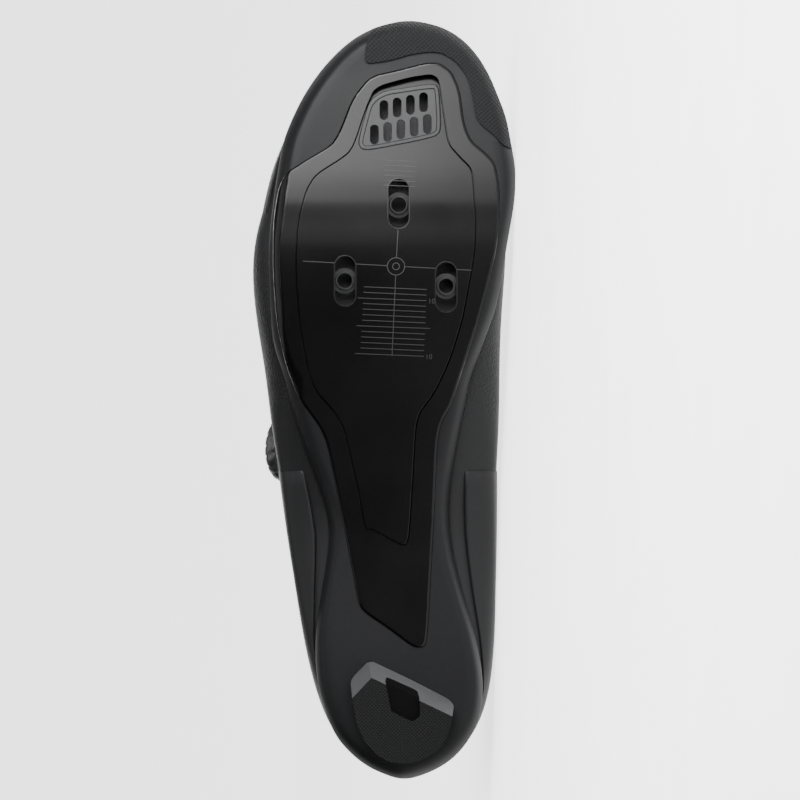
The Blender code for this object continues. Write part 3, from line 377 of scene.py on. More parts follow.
def sharpened(piece, degrees=32):
    """Shade a piece smooth except across its sharp edges."""
    bm = bmesh.new()
    bm.from_mesh(piece.data)
    bmesh.ops.remove_doubles(bm, verts=bm.verts, dist=1e-6)
    for face in bm.faces:
        face.smooth = True
    for edge in bm.edges:
        if len(edge.link_faces) == 2:
            edge.smooth = edge.calc_face_angle() < math.radians(degrees)
    bm.to_mesh(piece.data)
    bm.free()
    return piece


def stadium(at, across, width, length, depth, below=0.004):
    """An upright block with round ends, for the slots."""
    bm = bmesh.new()
    bmesh.ops.create_grid(bm, x_segments=1, y_segments=1, size=0.5)
    bmesh.ops.scale(bm, verts=bm.verts, vec=(length, width, 1.0))
    bmesh.ops.bevel(bm, geom=bm.verts[:], offset=width * 0.499, offset_type="OFFSET", segments=9,
                    profile=0.5, affect="VERTICES", material=-1)
    if depth:
        thickened(bm, depth + below)
    x, y = at * LENGTH, across * WIDTH
    bmesh.ops.translate(bm, verts=bm.verts, vec=(x, y, underside(x) - (below if depth else 0.0)))
    return bm


def joined(parts):
    """One bmesh from several."""
    whole = bmesh.new()
    for part in parts:
        mesh = bpy.data.meshes.new("part")
        part.to_mesh(mesh)
        part.free()
        whole.from_mesh(mesh)
        bpy.data.meshes.remove(mesh)
    return whole


THROUGH = 0.03
SLOTS = ((0.7555, -0.005), (0.6545, -0.208), (0.6465, 0.174))
FLANGE_ROOM = (0.0098, 0.0203)


def slots_through(places, width, length):
    """One cutter for slots of the same size at several places."""
    return cutter_from(joined([stadium(at, across, width, length, THROUGH) for at, across in places]))


cut(base, room_for(PLATE, PLATE_DEPTH + CLEARANCE, PLATE_SEAM))
cut(base, room_for(BUMPER, BUMPER_DEPTH + CLEARANCE, CLEARANCE, 0.012))
cut(base, slots_through(SLOTS, *FLANGE_ROOM))
VENT_WINDOW = (
    (0.896, -0.088), (0.908, 0.121), (0.905, 0.127), (0.855, 0.140), (0.848, 0.120), (0.831, -0.110),
    (0.833, -0.135), (0.838, -0.145),
)
VENT_THROUGH, VENT_BELOW = 0.02, 0.004
cut(base, room_for(VENT_WINDOW, VENT_THROUGH, below=VENT_BELOW))
sharpened(base)

# Sole plate
# Stiff fibre-reinforced plate with a gloss skin, bonded into the base; its raised border frames the panel.
# The border's outer edge is softly rounded. A narrow ledge runs along its inner edge, above the sunk panel.
PLATE_PROUD, PANEL_DEPTH, GROOVE = 0.0006, 0.0018, 0.0007
PLATE_EDGE, LEDGE_WIDTH, LEDGE_DEPTH, FRAME_STRIP = 0.0008, 0.00050, 0.0003, 0.00025
SLOT_WIDTH, SLOT_LENGTH = 0.0073, 0.0178
PANEL = (
    (0.910, -0.095), (0.923, 0.038), (0.927, 0.118), (0.922, 0.144), (0.910, 0.155), (0.871, 0.170),
    (0.834, 0.187), (0.818, 0.227), (0.803, 0.270), (0.790, 0.280), (0.735, 0.289), (0.695, 0.286),
    (0.638, 0.258), (0.599, 0.235), (0.550, 0.190), (0.510, 0.136), (0.481, 0.074), (0.460, 0.061),
    (0.381, 0.049), (0.316, 0.036), (0.306, 0.018), (0.315, -0.038), (0.329, -0.110), (0.328, -0.136),
    (0.376, -0.159), (0.421, -0.189), (0.462, -0.217), (0.483, -0.250), (0.510, -0.322), (0.538, -0.352),
    (0.596, -0.383), (0.669, -0.398), (0.730, -0.389), (0.772, -0.359), (0.794, -0.322), (0.820, -0.203),
    (0.834, -0.176), (0.884, -0.129),
)


def softened(bm, radius, segments=3):
    """Round the edges between the face and the sides of a thick blank, and frame the face with a strip."""
    sharp = [e for e in bm.edges if len(e.link_faces) == 2 and e.calc_face_angle() > math.radians(50)
             and abs(e.link_faces[0].normal.z - e.link_faces[1].normal.z) > 0.5]
    bmesh.ops.bevel(bm, geom=sharp, offset=radius, offset_type="OFFSET", segments=segments, profile=0.5,
                    affect="EDGES", material=-1, clamp_overlap=True)
    faces = [f for f in bm.faces if abs(f.normal.z) > 0.999 and len(f.verts) > 20]
    bmesh.ops.inset_region(bm, faces=faces, thickness=FRAME_STRIP, use_boundary=True, use_even_offset=True)


gloss_skin = moulded("gloss_plate_skin", (0.0008, 0.0008, 0.0009),
                     roughness=0.20, grain=0.0012, depth=0.0000008, shine=0.12)
plate_bm = blank(PLATE)
thickened(plate_bm, PLATE_DEPTH + PLATE_PROUD)
softened(plate_bm, PLATE_EDGE)
bmesh.ops.translate(plate_bm, verts=plate_bm.verts, vec=(0, 0, -PLATE_PROUD))
plate = finished(bent(plate_bm), "gloss_plate", gloss_skin, "sole_plate")
cut(plate, room_for(PANEL, PANEL_DEPTH + CLEARANCE, GROOVE / 2))
cut(plate, room_for(PANEL, LEDGE_DEPTH - PLATE_PROUD, GROOVE / 2 + LEDGE_WIDTH))
cut(plate, room_for(VENT_WINDOW, VENT_THROUGH, below=VENT_BELOW))
cut(plate, slots_through(SLOTS, SLOT_WIDTH, SLOT_LENGTH))
sharpened(plate)

# Cleat panel
# The plate's inner panel, a little sunk, with three slots for the cleat bolts and marks to set a cleat by.
# The marks are fine raised lines, moulded two millimetres apart, with plain numbers beside the longer ones,
# and a low bead runs round each slot, of a paler grey that paints a highlight on top of the real one its
# raised edge catches. The panel stops short at the vent's front edge and leaves a dark gap.
PANEL_SUNK, PANEL_EDGE = 0.0007, 0.0003
VENT = (
    (0.902, -0.110), (0.915, 0.133), (0.907, 0.150), (0.851, 0.158), (0.842, 0.129), (0.825, -0.117),
    (0.827, -0.148), (0.837, -0.161),
)
panel_bm = blank(PANEL, grow=-GROOVE / 2)
thickened(panel_bm, PANEL_DEPTH + PLATE_PROUD - PANEL_SUNK)
softened(panel_bm, PANEL_EDGE)
bmesh.ops.translate(panel_bm, verts=panel_bm.verts, vec=(0, 0, PANEL_SUNK - PLATE_PROUD))
panel = finished(bent(panel_bm), "bolt_panel", gloss_skin, "cleat_panel")
VENT_GAP = ((0.938, -0.100), (0.938, 0.150), (0.912, 0.150)) + VENT[2:] + ((0.905, -0.106),)
cut(panel, room_for(VENT_GAP, VENT_THROUGH, CLEARANCE, VENT_BELOW))
cut(panel, slots_through(SLOTS, SLOT_WIDTH, SLOT_LENGTH))
sharpened(panel)

mark_grey = moulded("mark_grey", (0.0075, 0.0076, 0.0079),
                    roughness=0.45, grain=0.0004, depth=0.00001, shine=0.25)
PIXEL, HEEL_ROW, MIDDLE_COLUMN = 0.0003623, 781.7, 400.0
LINE_WIDTH, FINE_WIDTH, RING_WIDTH, LINE_HEIGHT = 0.00030, 0.00022, 0.00032, 0.00006


def seen_at(px, py):
    """A place in the sole's plan from a place in the picture, in the picture's own units."""
    return Vector(((HEEL_ROW - py) * PIXEL, (px - MIDDLE_COLUMN) * PIXEL, 0.0))


def raised_line(start, end, width=LINE_WIDTH):
    """A fine moulded line between two places in the picture."""
    a, b = seen_at(*start), seen_at(*end)
    bm = bmesh.new()
    bmesh.ops.create_grid(bm, x_segments=max(2, int((b - a).length / 0.002)), y_segments=1, size=0.5)
    bmesh.ops.scale(bm, verts=bm.verts, vec=((b - a).length, width, 1.0))
    bmesh.ops.rotate(bm, verts=bm.verts, matrix=Matrix.Rotation(math.atan2((b - a).y, (b - a).x), 3, "Z"))
    bmesh.ops.translate(bm, verts=bm.verts, vec=(a + b) / 2)
    return bm


def strip_of(bm, width):
    """Keep nothing but a strip along a flat face's edge."""
    rim = bmesh.ops.inset_region(bm, faces=bm.faces[:], thickness=width, use_boundary=True,
                                 use_even_offset=True)["faces"]
    bmesh.ops.delete(bm, geom=[f for f in bm.faces if f not in rim], context="FACES")


def raised_ring(px, py, radius):
    """A fine moulded ring round a place in the picture."""
    bm = bmesh.new()
    bmesh.ops.create_circle(bm, cap_ends=True, segments=48, radius=radius * PIXEL)
    strip_of(bm, RING_WIDTH)
    bmesh.ops.translate(bm, verts=bm.verts, vec=seen_at(px, py))
    return bm


def plain_number(text, px, py, high):
    """A plain number lying on the panel, its foot towards the heel."""
    words = bpy.data.curves.new("number", "FONT")
    words.body = text
    words.size = high * PIXEL * 1.42
    words.align_x = "LEFT"
    words.align_y = "CENTER"
    holder = placed("number", words)
    bpy.context.view_layer.update()
    seen = holder.evaluated_get(bpy.context.evaluated_depsgraph_get())
    bm = bmesh.new()
    bm.from_mesh(bpy.data.meshes.new_from_object(seen))
    bpy.data.objects.remove(holder)
    bmesh.ops.rotate(bm, verts=bm.verts, matrix=Matrix.Rotation(math.radians(90), 3, "Z"))
    bmesh.ops.scale(bm, verts=bm.verts, vec=(-1.0, 1.0, 1.0))
    bmesh.ops.translate(bm, verts=bm.verts, vec=seen_at(px, py))
    return bm


marks = [raised_line((303.2, 261.5), (334.5, 263.1)), raised_line((355.8, 264.3), (386.9, 266.0)),
         raised_line((405.1, 267.0), (436.8, 268.7)), raised_line((456.6, 269.8), (471.2, 270.5)),
         raised_line((398.0, 229.5), (396.5, 257.6)), raised_line((395.7, 275.8), (392.0, 356.0)),
         raised_ring(396.0, 266.7, 9.1), raised_ring(396.0, 266.7, 3.8)]
FRONT_LINES, FRONT_PITCH, REAR_LINES, REAR_PITCH = 6, 5.0, 13, 5.54
LONG_LEFT, LONG_RIGHT = {2: 358.0, 7: 356.5, 12: 355.0}, {7: 430.0}
for k in range(FRONT_LINES):
    py = 160.4 + FRONT_PITCH * k
    marks.append(raised_line((384.5 - 0.3 * k, py), (416.5 - 0.3 * k, py + 1.6), FINE_WIDTH))
for k in range(REAR_LINES):
    py = 287.2 + REAR_PITCH * k
    left, right = LONG_LEFT.get(k, 364.0 - 0.32 * k), LONG_RIGHT.get(k, 426.7 - 0.24 * k)
    marks.append(raised_line((left, py - 0.2), (right, py + 2.6)))
marks += [plain_number("10", 428.0, 301.6, 5.0), plain_number("10", 425.2, 357.0, 5.0)]
marks_bm = joined(marks)
bmesh.ops.recalc_face_normals(marks_bm, faces=marks_bm.faces)
for vert in marks_bm.verts:
    vert.co.z = height_at(vert.co.x, vert.co.y) + PANEL_SUNK - PLATE_PROUD
marks_bm.normal_update()
extruded(marks_bm, (0, 0, -LINE_HEIGHT))
bmesh.ops.recalc_face_normals(marks_bm, faces=marks_bm.faces)
finished(marks_bm, "cleat_marks", mark_grey, smooth=False)

# Painted highlight: the beads' grey is paler than the panel's. It adds to the real highlight that their
# raised edges catch.
bead_painted_highlight = moulded("slot_bead_painted_highlight", (0.0030, 0.0030, 0.0033),
                    roughness=0.30, grain=0.0006, depth=0.000005, shine=0.16)
BEAD_OUT, BEAD_WIDTH, BEAD_DEEP, BEAD_HEIGHT, BEAD_ROUND = 0.0009, 0.00042, 0.0002, 0.00032, 0.0001
rims = []
for at, across in SLOTS:
    bm = stadium(at, across, SLOT_WIDTH + BEAD_OUT, SLOT_LENGTH + BEAD_OUT, 0.0)
    strip_of(bm, BEAD_WIDTH)
    for vert in bm.verts:
        vert.co.z = height_at(vert.co.x, vert.co.y) + PANEL_SUNK - PLATE_PROUD + BEAD_DEEP
    bm.normal_update()
    extruded(bm, (0, 0, -BEAD_HEIGHT))
    rims.append(bm)
rims_bm = joined(rims)
bmesh.ops.recalc_face_normals(rims_bm, faces=rims_bm.faces)
bead = [e for e in rims_bm.edges if e.calc_face_angle() > math.radians(60)]
bmesh.ops.bevel(rims_bm, geom=bead, offset=BEAD_ROUND, offset_type="OFFSET", segments=2, profile=0.5,
                affect="EDGES", material=-1, clamp_overlap=True)
sharpened(finished(rims_bm, "slot_rims", bead_painted_highlight), 50)

# Vent tray
# A sunk tray at the toe with nine slots in two leaning rows that let air in under the toes.
# Moulded plastic with a stepped frame; it drops into the panel's opening and is bonded there.
VENT_SUNK, TRAY_EDGE = 0.0010, 0.00045
TRAY_FRAME, TRAY_STEP, TRAY_STEP_DEPTH = 0.0007, 0.0003, 0.0004
tray_bm = blank(VENT)
thickened(tray_bm, PANEL_DEPTH + PLATE_PROUD - VENT_SUNK)
softened(tray_bm, TRAY_EDGE, 4)
face_side = [f for f in tray_bm.faces if f.normal.z < -0.999 and len(f.verts) > 20]
for width, drop in ((TRAY_FRAME, 0.0), (TRAY_STEP, -TRAY_STEP_DEPTH)):
    bmesh.ops.inset_region(tray_bm, faces=face_side, thickness=width, depth=drop, use_boundary=True,
                           use_even_offset=True)
bmesh.ops.translate(tray_bm, verts=tray_bm.verts, vec=(0, 0, VENT_SUNK - PLATE_PROUD))
tray_skin = moulded("vent_tray_skin", (0.008, 0.0082, 0.0088),
                    roughness=0.30, grain=0.0007, depth=0.00001, shine=0.13)
tray = finished(bent(tray_bm), "air_tray", tray_skin, "vent_tray")
ROW_LEAN, ROW_PITCH, VENT_SLOT = math.radians(11.4), 0.00489, (0.00315, 0.00725)
ROWS = ((0.8790, -0.061, 4), (0.8465, -0.097, 5))
STEP_ALONG, STEP_ACROSS = ROW_PITCH * math.sin(ROW_LEAN) / LENGTH, ROW_PITCH * math.cos(ROW_LEAN) / WIDTH
places = [(at + k * STEP_ALONG, across + k * STEP_ACROSS)
          for at, across, count in ROWS for k in range(count)]
cut(tray, slots_through(places, *VENT_SLOT))
sharpened(tray)

# Cleat nuts
# Threaded steel barrels with a flange behind the plate, turned and blackened.
# They are put in from inside the shoe and slide in their slots to set the cleat.
blackened = moulded("blackened_steel", (0.021, 0.021, 0.0215),
                    roughness=0.30, grain=0.0004, depth=0.00001, metallic=0.8)
NUT_RADIUS, NUT_BORE, NUT_FLANGE = 0.0033, 0.00245, 0.0046
NUT_FACE, NUT_SEAT, NUT_TOP, NUT_CHAMFER = 0.0004, 0.0036, 0.0048, 0.0002
THREADS, THREAD_PITCH, THREAD_DEPTH = 5, 0.0008, 0.00028
profile = [(NUT_BORE + 0.0003, NUT_FACE), (NUT_RADIUS - NUT_CHAMFER, NUT_FACE),
           (NUT_RADIUS, NUT_FACE + NUT_CHAMFER), (NUT_RADIUS, NUT_SEAT), (NUT_FLANGE, NUT_SEAT),
           (NUT_FLANGE, NUT_TOP), (NUT_BORE, NUT_TOP)]
for k in range(THREADS, 0, -1):
    low = NUT_FACE + THREAD_PITCH / 2 + THREAD_PITCH * k
    profile += [(NUT_BORE, low), (NUT_BORE + THREAD_DEPTH, low - THREAD_PITCH / 2)]
for name, (at, across) in NUTS.items():
    bm = bmesh.new()
    verts = [bm.verts.new((radius, 0.0, height)) for radius, height in profile]
    edges = [bm.edges.new(pair) for pair in zip(verts, verts[1:] + verts[:1])]
    bmesh.ops.spin(bm, geom=verts + edges, cent=(0, 0, 0), axis=(0, 0, 1), angle=2 * math.pi, steps=48,
                   use_merge=True)
    bmesh.ops.translate(bm, verts=bm.verts, vec=(at * LENGTH, across * WIDTH, underside(at * LENGTH)))
    bmesh.ops.remove_doubles(bm, verts=bm.verts, dist=1e-7)
    bmesh.ops.recalc_face_normals(bm, faces=bm.faces)
    sharpened(finished(bm, "bolt_nut_" + name, blackened, "cleat_nut_" + name), 25)


# Toe bumper
# Rubber bumper at the toe's inner side, moulded with a fine diamond grip.
# It is let into the base and bonded over the rim.
def gripped(name, colour, pitch, depth, roughness=0.6):
    """Rubber with a fine diamond grip: two sets of crossing ridges at the sole's own scale."""
    material = moulded(name, colour, roughness=roughness, grain=0.0004, depth=0.00003, shine=0.07)
    tree = material.node_tree
    where = next(n for n in tree.nodes if n.type == "TEX_COORD")
    bump = next(n for n in tree.nodes if n.type == "BUMP")
    shader = tree.nodes["Principled BSDF"]
    ridges = []
    for angle in (45, -45):
        turned = tree.nodes.new("ShaderNodeMapping")
        turned.inputs["Rotation"].default_value = (0.0, math.radians(angle), 0.0)
        wave = tree.nodes.new("ShaderNodeTexWave")
        wave.wave_type, wave.bands_direction, wave.wave_profile = "BANDS", "X", "SIN"
        wave.inputs["Scale"].default_value = 1.0 / pitch / 3.2
        wave.inputs["Distortion"].default_value = 0.0
        tree.links.new(where.outputs["Object"], turned.inputs["Vector"])
        tree.links.new(turned.outputs["Vector"], wave.inputs["Vector"])
        ridges.append(wave)
    both = tree.nodes.new("ShaderNodeMath")
    both.operation = "MULTIPLY"
    for k, wave in enumerate(ridges):
        tree.links.new(wave.outputs["Fac"], both.inputs[k])
    grip = tree.nodes.new("ShaderNodeBump")
    grip.inputs["Distance"].default_value = depth
    tree.links.new(both.outputs["Value"], grip.inputs["Height"])
    tree.links.new(bump.outputs["Normal"], grip.inputs["Normal"])
    tree.links.new(grip.outputs["Normal"], shader.inputs["Normal"])
    return material


def block_of(outline, low, high, round_share=30.0):
    """A straight-sided block over an outline, between two heights."""
    bm = blank(outline, round_share)
    thickened(bm, high - low)
    bmesh.ops.translate(bm, verts=bm.verts, vec=(0, 0, low))
    return bm


def edge_rounded(piece, width, segments, degrees):
    """Round a piece's sharp edges with a modifier."""
    modifier = piece.modifiers.new("edge", "BEVEL")
    modifier.width, modifier.segments, modifier.profile = width, segments, 0.5
    modifier.affect, modifier.material = "EDGES", -1
    modifier.limit_method, modifier.angle_limit = "ANGLE", math.radians(degrees)


BUMPER_PROUD = 0.0007
toe_rubber = gripped("toe_rubber", (0.0038, 0.0039, 0.0042), pitch=0.0011, depth=0.00022)
bumper_layers = [(inset, lambda x, inset: on_underside(x, inset) + BUMPER_DEPTH) for inset in INSETS[::-1]]
bumper_layers += [(inset, lambda x, inset: on_underside(x, inset) - BUMPER_PROUD) for inset in INSETS]
bumper = finished(over_sole(AROUND, bumper_layers), "grip_bumper", toe_rubber, "toe_bumper")
cut(bumper, cutter_from(block_of(BUMPER, -0.01, 0.04)), keep_inside=True)
edge_rounded(sharpened(bumper), 0.0004, 2, 50)

# Heel pad
# Rubber heel block with a sloped front, for walking; a window in it shows the dark insert behind.
# Both are moulded and bonded to the base; the grip stays dark, and the two slopes facing the toe's lamps get
# a paler colour that is painted light.
heel_rubber = gripped("heel_rubber", (0.0022, 0.0023, 0.0025), pitch=0.0009, depth=0.00012)
HEEL_PAD = (
    (0.159, -0.114), (0.132, -0.189), (0.111, -0.181), (0.077, -0.164), (0.053, -0.133), (0.036, -0.087),
    (0.027, -0.038), (0.025, 0.010), (0.026, 0.055), (0.034, 0.106), (0.045, 0.150), (0.062, 0.181),
    (0.077, 0.193), (0.103, 0.207), (0.132, 0.042),
)
HEEL_WINDOW = (
    (0.137, -0.050), (0.119, 0.066), (0.109, 0.074), (0.087, 0.076), (0.080, 0.050), (0.082, 0.030),
    (0.093, -0.033), (0.109, -0.042), (0.133, -0.056),
)
SLOPE = ((0.1105, -0.180), (0.137, -0.108), (0.088, 0.190))
SLOPE_RISE, SLOPE_RUN = 0.018, 0.0062
PAD_HEIGHT, INSERT_FACE, INSERT_BACK = 0.0142, 0.0022, 0.0117


def sloped(bm):
    """Cut the block's front back to the two planes that lean from the ground face to the sole."""
    corner, apex, far = (Vector((at * LENGTH, across * WIDTH, 0.0)) for at, across in SLOPE)
    for start, end in ((apex, far), (corner, apex)):
        flow = (end - start).normalized()
        out = Vector((-flow.y, flow.x, 0.0))
        out = out if out.x > 0 else -out
        sliced(bm, start, (out * SLOPE_RISE - Vector((0, 0, 1)) * SLOPE_RUN).normalized(), clear_outer=True)
        bmesh.ops.holes_fill(bm, edges=[e for e in bm.edges if e.is_boundary], sides=0)


pad_bm = block_of(HEEL_PAD, 0.0, PAD_HEIGHT, 22.0)
sloped(pad_bm)
bmesh.ops.recalc_face_normals(pad_bm, faces=pad_bm.faces)
pad = finished(pad_bm, "heel_block", heel_rubber, "heel_pad")
cut(pad, cutter_from(block_of(HEEL_WINDOW, -0.01, 0.012, 18.0)))
sharpened(pad, 25)
# Painted light: the two slopes get a paler rubber colour that stands in for the light from the toe's end
# falling on them.
slope_painted_light = moulded("heel_slope_painted_light", (0.031, 0.0312, 0.0320),
                     roughness=0.5, grain=0.0005, depth=0.00003, shine=0.1)
pad.data.materials.append(slope_painted_light)
# The slopes are the faces that look forwards and down, towards the toe's lamps; their paler colour paints
# the light they catch.
for face in pad.data.polygons:
    way = LAID.to_3x3().inverted() @ face.normal
    if way.x > 0.4 and -0.7 < way.z < -0.12:
        face.material_index = 1
edge_rounded(pad, 0.00035, 3, 25)
insert_bm = block_of(HEEL_WINDOW, INSERT_FACE, INSERT_BACK, 18.0)
sloped(insert_bm)
insert_skin = moulded("window_insert", (0.0012, 0.0012, 0.0012),
                      roughness=0.8, grain=0.0006, depth=0.00001, shine=0.03)
finished(insert_bm, "window_back", insert_skin, "heel_insert", smooth=False)


# Upper
# Bonded synthetic upper, thermoformed over the last, open at the collar and throat, with a stepped eyestay.
# Its skin turns to a fine knit at the ball of the foot, the inside is lined with soft fabric, and its foot
# goes down into the base, where it is glued.
def from_cad(node, merge=2e-5):
    """A clean copy of a CAD node's mesh: its corners joined and its triangles paired to quads."""
    bm = bmesh.new()
    bm.from_mesh(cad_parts[node].data)
    bmesh.ops.remove_doubles(bm, verts=bm.verts, dist=merge)
    bmesh.ops.dissolve_degenerate(bm, edges=bm.edges, dist=1e-6)
    bmesh.ops.join_triangles(bm, faces=bm.faces, angle_face_threshold=math.radians(25),
                             angle_shape_threshold=math.radians(60), cmp_seam=False, cmp_sharp=False)
    bmesh.ops.transform(bm, matrix=LAID.inverted(), verts=bm.verts)
    return bm


def rounded_off(piece, levels, crisp=None, rounds=4, most=0.001):
    """Subdivide smoothly, with the corners moved out until the smooth surface passes where they stood."""
    if crisp:
        bm = bmesh.new()
        bm.from_mesh(piece.data)
        held = bm.edges.layers.float.new("crease_edge")
        for edge in bm.edges:
            if len(edge.link_faces) == 2 and edge.calc_face_angle() > math.radians(50):
                edge[held] = crisp
        bm.to_mesh(piece.data)
        bm.free()
    modifier = piece.modifiers.new("rounded", "SUBSURF")
    modifier.levels = modifier.render_levels = levels
    stood = [v.co.copy() for v in piece.data.vertices]
    for _ in range(rounds):
        piece.data.update()
        bpy.context.view_layer.update()
        seen = piece.evaluated_get(bpy.context.evaluated_depsgraph_get())
        smooth = seen.to_mesh()
        moves = [stood[k] - smooth.vertices[k].co for k in range(len(stood))]
        seen.to_mesh_clear()
        for vert, move in zip(piece.data.vertices, moves):
            vert.co += move if move.length < most else move.normalized() * most


def knitted(name, colour):
    """Synthetic skin that turns to an open knit between the ball of the foot and the waist."""
    material = moulded(name, colour, roughness=0.5, grain=0.0006, depth=0.00005, shine=0.12)
    tree = material.node_tree
    where = next(n for n in tree.nodes if n.type == "TEX_COORD")
    bump = next(n for n in tree.nodes if n.type == "BUMP")
    cells = tree.nodes.new("ShaderNodeTexVoronoi")
    cells.inputs["Scale"].default_value = 1300.0
    parts = tree.nodes.new("ShaderNodeSeparateXYZ")
    rise = tree.nodes.new("ShaderNodeMapRange")
    fall = tree.nodes.new("ShaderNodeMapRange")
    for node, low, high in ((rise, -0.010, 0.002), (fall, 0.058, 0.046)):
        node.interpolation_type = "SMOOTHSTEP"
        node.inputs["From Min"].default_value = low
        node.inputs["From Max"].default_value = high
    here = tree.nodes.new("ShaderNodeMath")
    here.operation = "MULTIPLY"
    height = tree.nodes.new("ShaderNodeMath")
    height.operation = "MULTIPLY"
    weave = tree.nodes.new("ShaderNodeBump")
    weave.inputs["Distance"].default_value = 0.0003
    tree.links.new(where.outputs["Object"], cells.inputs["Vector"])
    tree.links.new(where.outputs["Object"], parts.inputs["Vector"])
    tree.links.new(parts.outputs["X"], rise.inputs["Value"])
    tree.links.new(parts.outputs["X"], fall.inputs["Value"])
    tree.links.new(rise.outputs["Result"], here.inputs[0])
    tree.links.new(fall.outputs["Result"], here.inputs[1])
    tree.links.new(cells.outputs["Distance"], height.inputs[0])
    tree.links.new(here.outputs["Value"], height.inputs[1])
    tree.links.new(height.outputs["Value"], weave.inputs["Height"])
    tree.links.new(bump.outputs["Normal"], weave.inputs["Normal"])
    tree.links.new(weave.outputs["Normal"], tree.nodes["Principled BSDF"].inputs["Normal"])
    return material


FOOT_BAND, FOOT_DOWN, LAST_MIDDLE = 0.0015, 0.0010, 0.045
upper_skin = knitted("upper_synthetic", (0.0045, 0.0046, 0.0050))
lining = moulded("soft_lining", (0.018, 0.018, 0.019), roughness=0.9, grain=0.0005, depth=0.00015)
upper_bm = from_cad("upper")
for vert in upper_bm.verts:
    if vert.co.z < underside(vert.co.x) + SOLE_THICKNESS + FOOT_BAND:
        vert.co.z -= FOOT_DOWN
for face in upper_bm.faces:
    centre = face.calc_center_median()
    inward = face.normal.dot(centre - Vector((centre.x, 0.0, LAST_MIDDLE))) < 0.0
    face.material_index = 1 if inward else 0
upper = finished(upper_bm, "moulded_upper", upper_skin, "upper")
upper.data.materials.append(lining)
rounded_off(upper, 2)

# Heel counter and toe cap
# Stiff thermoplastic overlays, moulded and bonded to the upper round the heel and the toe.
# Their free edges are drawn in towards the upper, so that they end softly.
overlay_skin = moulded("overlay_skin", (0.0045, 0.0046, 0.0050),
                       roughness=0.48, grain=0.0005, depth=0.00004, shine=0.12)
OVERLAYS = (("heel_counter", "heel_cup", 0.405, 1.0), ("toe_cap", "toe_guard", 0.745, -1.0))
FREE_FADE, FOOT_TOP, FOOT_FADE, DRAWN_IN = 0.016, 0.031, 0.012, 0.0011
for node, name, edge_at, way in OVERLAYS:
    bm = from_cad(node, 0.0008)
    for vert in bm.verts:
        gap = way * (edge_at * LENGTH - vert.co.x)
        fade = max(0.0, min(1.0, 1.0 - gap / FREE_FADE), min(1.0, (FOOT_TOP - vert.co.z) / FOOT_FADE))
        middle = Vector((vert.co.x, 0.0, LAST_MIDDLE))
        vert.co += (middle - vert.co).normalized() * DRAWN_IN * fade * fade
    rounded_off(finished(bm, name, overlay_skin, node), 2, 0.75, 1, 0.0003)

# Tongue and insole
# A thin padded tongue under the lacing, foam between two layers of fabric, sewn in at the throat's foot.
# The insole is a loose foam bed faced with dark fabric.
felt = moulded("tongue_fabric", (0.012, 0.0122, 0.013), roughness=0.85, grain=0.0006, depth=0.00012)
tongue = finished(from_cad("tongue"), "padded_tongue", felt, "tongue")
TONGUE_KEPT = ((0.392, -0.30), (0.392, 0.30), (0.80, 0.34), (0.80, -0.34))
cut(tongue, cutter_from(block_of(TONGUE_KEPT, 0.0, 0.2, 26.0)), keep_inside=True)
full = tongue.modifiers.new("full", "DISPLACE")
full.strength, full.mid_level = 0.0005, 0.0
remesh = tongue.modifiers.new("remesh", "REMESH")
remesh.mode, remesh.voxel_size, remesh.use_smooth_shade = "VOXEL", 0.0008, True
calm = tongue.modifiers.new("calm", "SMOOTH")
calm.factor, calm.iterations = 0.5, 12
insole_cloth = moulded("insole_fabric", (0.016, 0.016, 0.017), roughness=0.9, grain=0.0006, depth=0.0001)
insole = sharpened(finished(from_cad("insole"), "foam_insole", insole_cloth, "insole"), 40)
edge_rounded(insole, 0.0007, 3, 50)

# Lace dial
# A winding dial on the outer side: a low housing bonded to the upper and a knob with slanted finger grooves.
# Both are moulded plastic. The knob turns on the housing to wind the lace in, and is drawn closed.
DIAL_TILT, KNOB_MIDDLE = math.radians(28), 0.0055
GROOVES, GROOVE_SLANT, GROOVE_DEPTH = 18.0, 38.0, 0.0006
dial_skin = moulded("dial_plastic", (0.011, 0.0112, 0.012), roughness=0.38, grain=0.0006, depth=0.00003)
axis = Vector((0.05, -math.cos(DIAL_TILT), math.sin(DIAL_TILT))).normalized()
low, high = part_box("dial_knob")
seat = LAID.inverted() @ ((low + high) / 2) - axis * KNOB_MIDDLE
upright = Matrix.Translation(seat) @ Vector((0, 0, 1)).rotation_difference(axis).to_matrix().to_4x4()
knob_profile = ((0.0, 0.0023), (0.0118, 0.0023), (0.0131, 0.0029), (0.0133, 0.0040), (0.0132, 0.0056),
                (0.0127, 0.0072), (0.0116, 0.0083), (0.0098, 0.00868), (0.0092, 0.0084), (0.0050, 0.0083),
                (0.0, 0.0083))
bm = bmesh.new()
verts = [bm.verts.new((radius, 0.0, height)) for radius, height in knob_profile]
edges = [bm.edges.new(pair) for pair in zip(verts, verts[1:])]
bmesh.ops.spin(bm, geom=verts + edges, cent=(0, 0, 0), axis=(0, 0, 1), angle=2 * math.pi, steps=144,
               use_merge=True)
bmesh.ops.remove_doubles(bm, verts=bm.verts, dist=1e-6)
bmesh.ops.recalc_face_normals(bm, faces=bm.faces)
for vert in bm.verts:
    radius = vert.co.xy.length
    if radius > 0.0105 and 0.0027 < vert.co.z < 0.0086:
        angle = math.atan2(vert.co.y, vert.co.x) + (vert.co.z - KNOB_MIDDLE) * GROOVE_SLANT
        groove = max(0.0, math.cos(GROOVES * angle)) ** 3 * GROOVE_DEPTH
        vert.co.xy *= 1.0 - groove / radius
bmesh.ops.transform(bm, matrix=upright, verts=bm.verts)
finished(bm, "winding_knob", dial_skin, "dial_knob")
sharpened(finished(from_cad("dial_base"), "dial_housing", dial_skin, "dial_base"), 35)

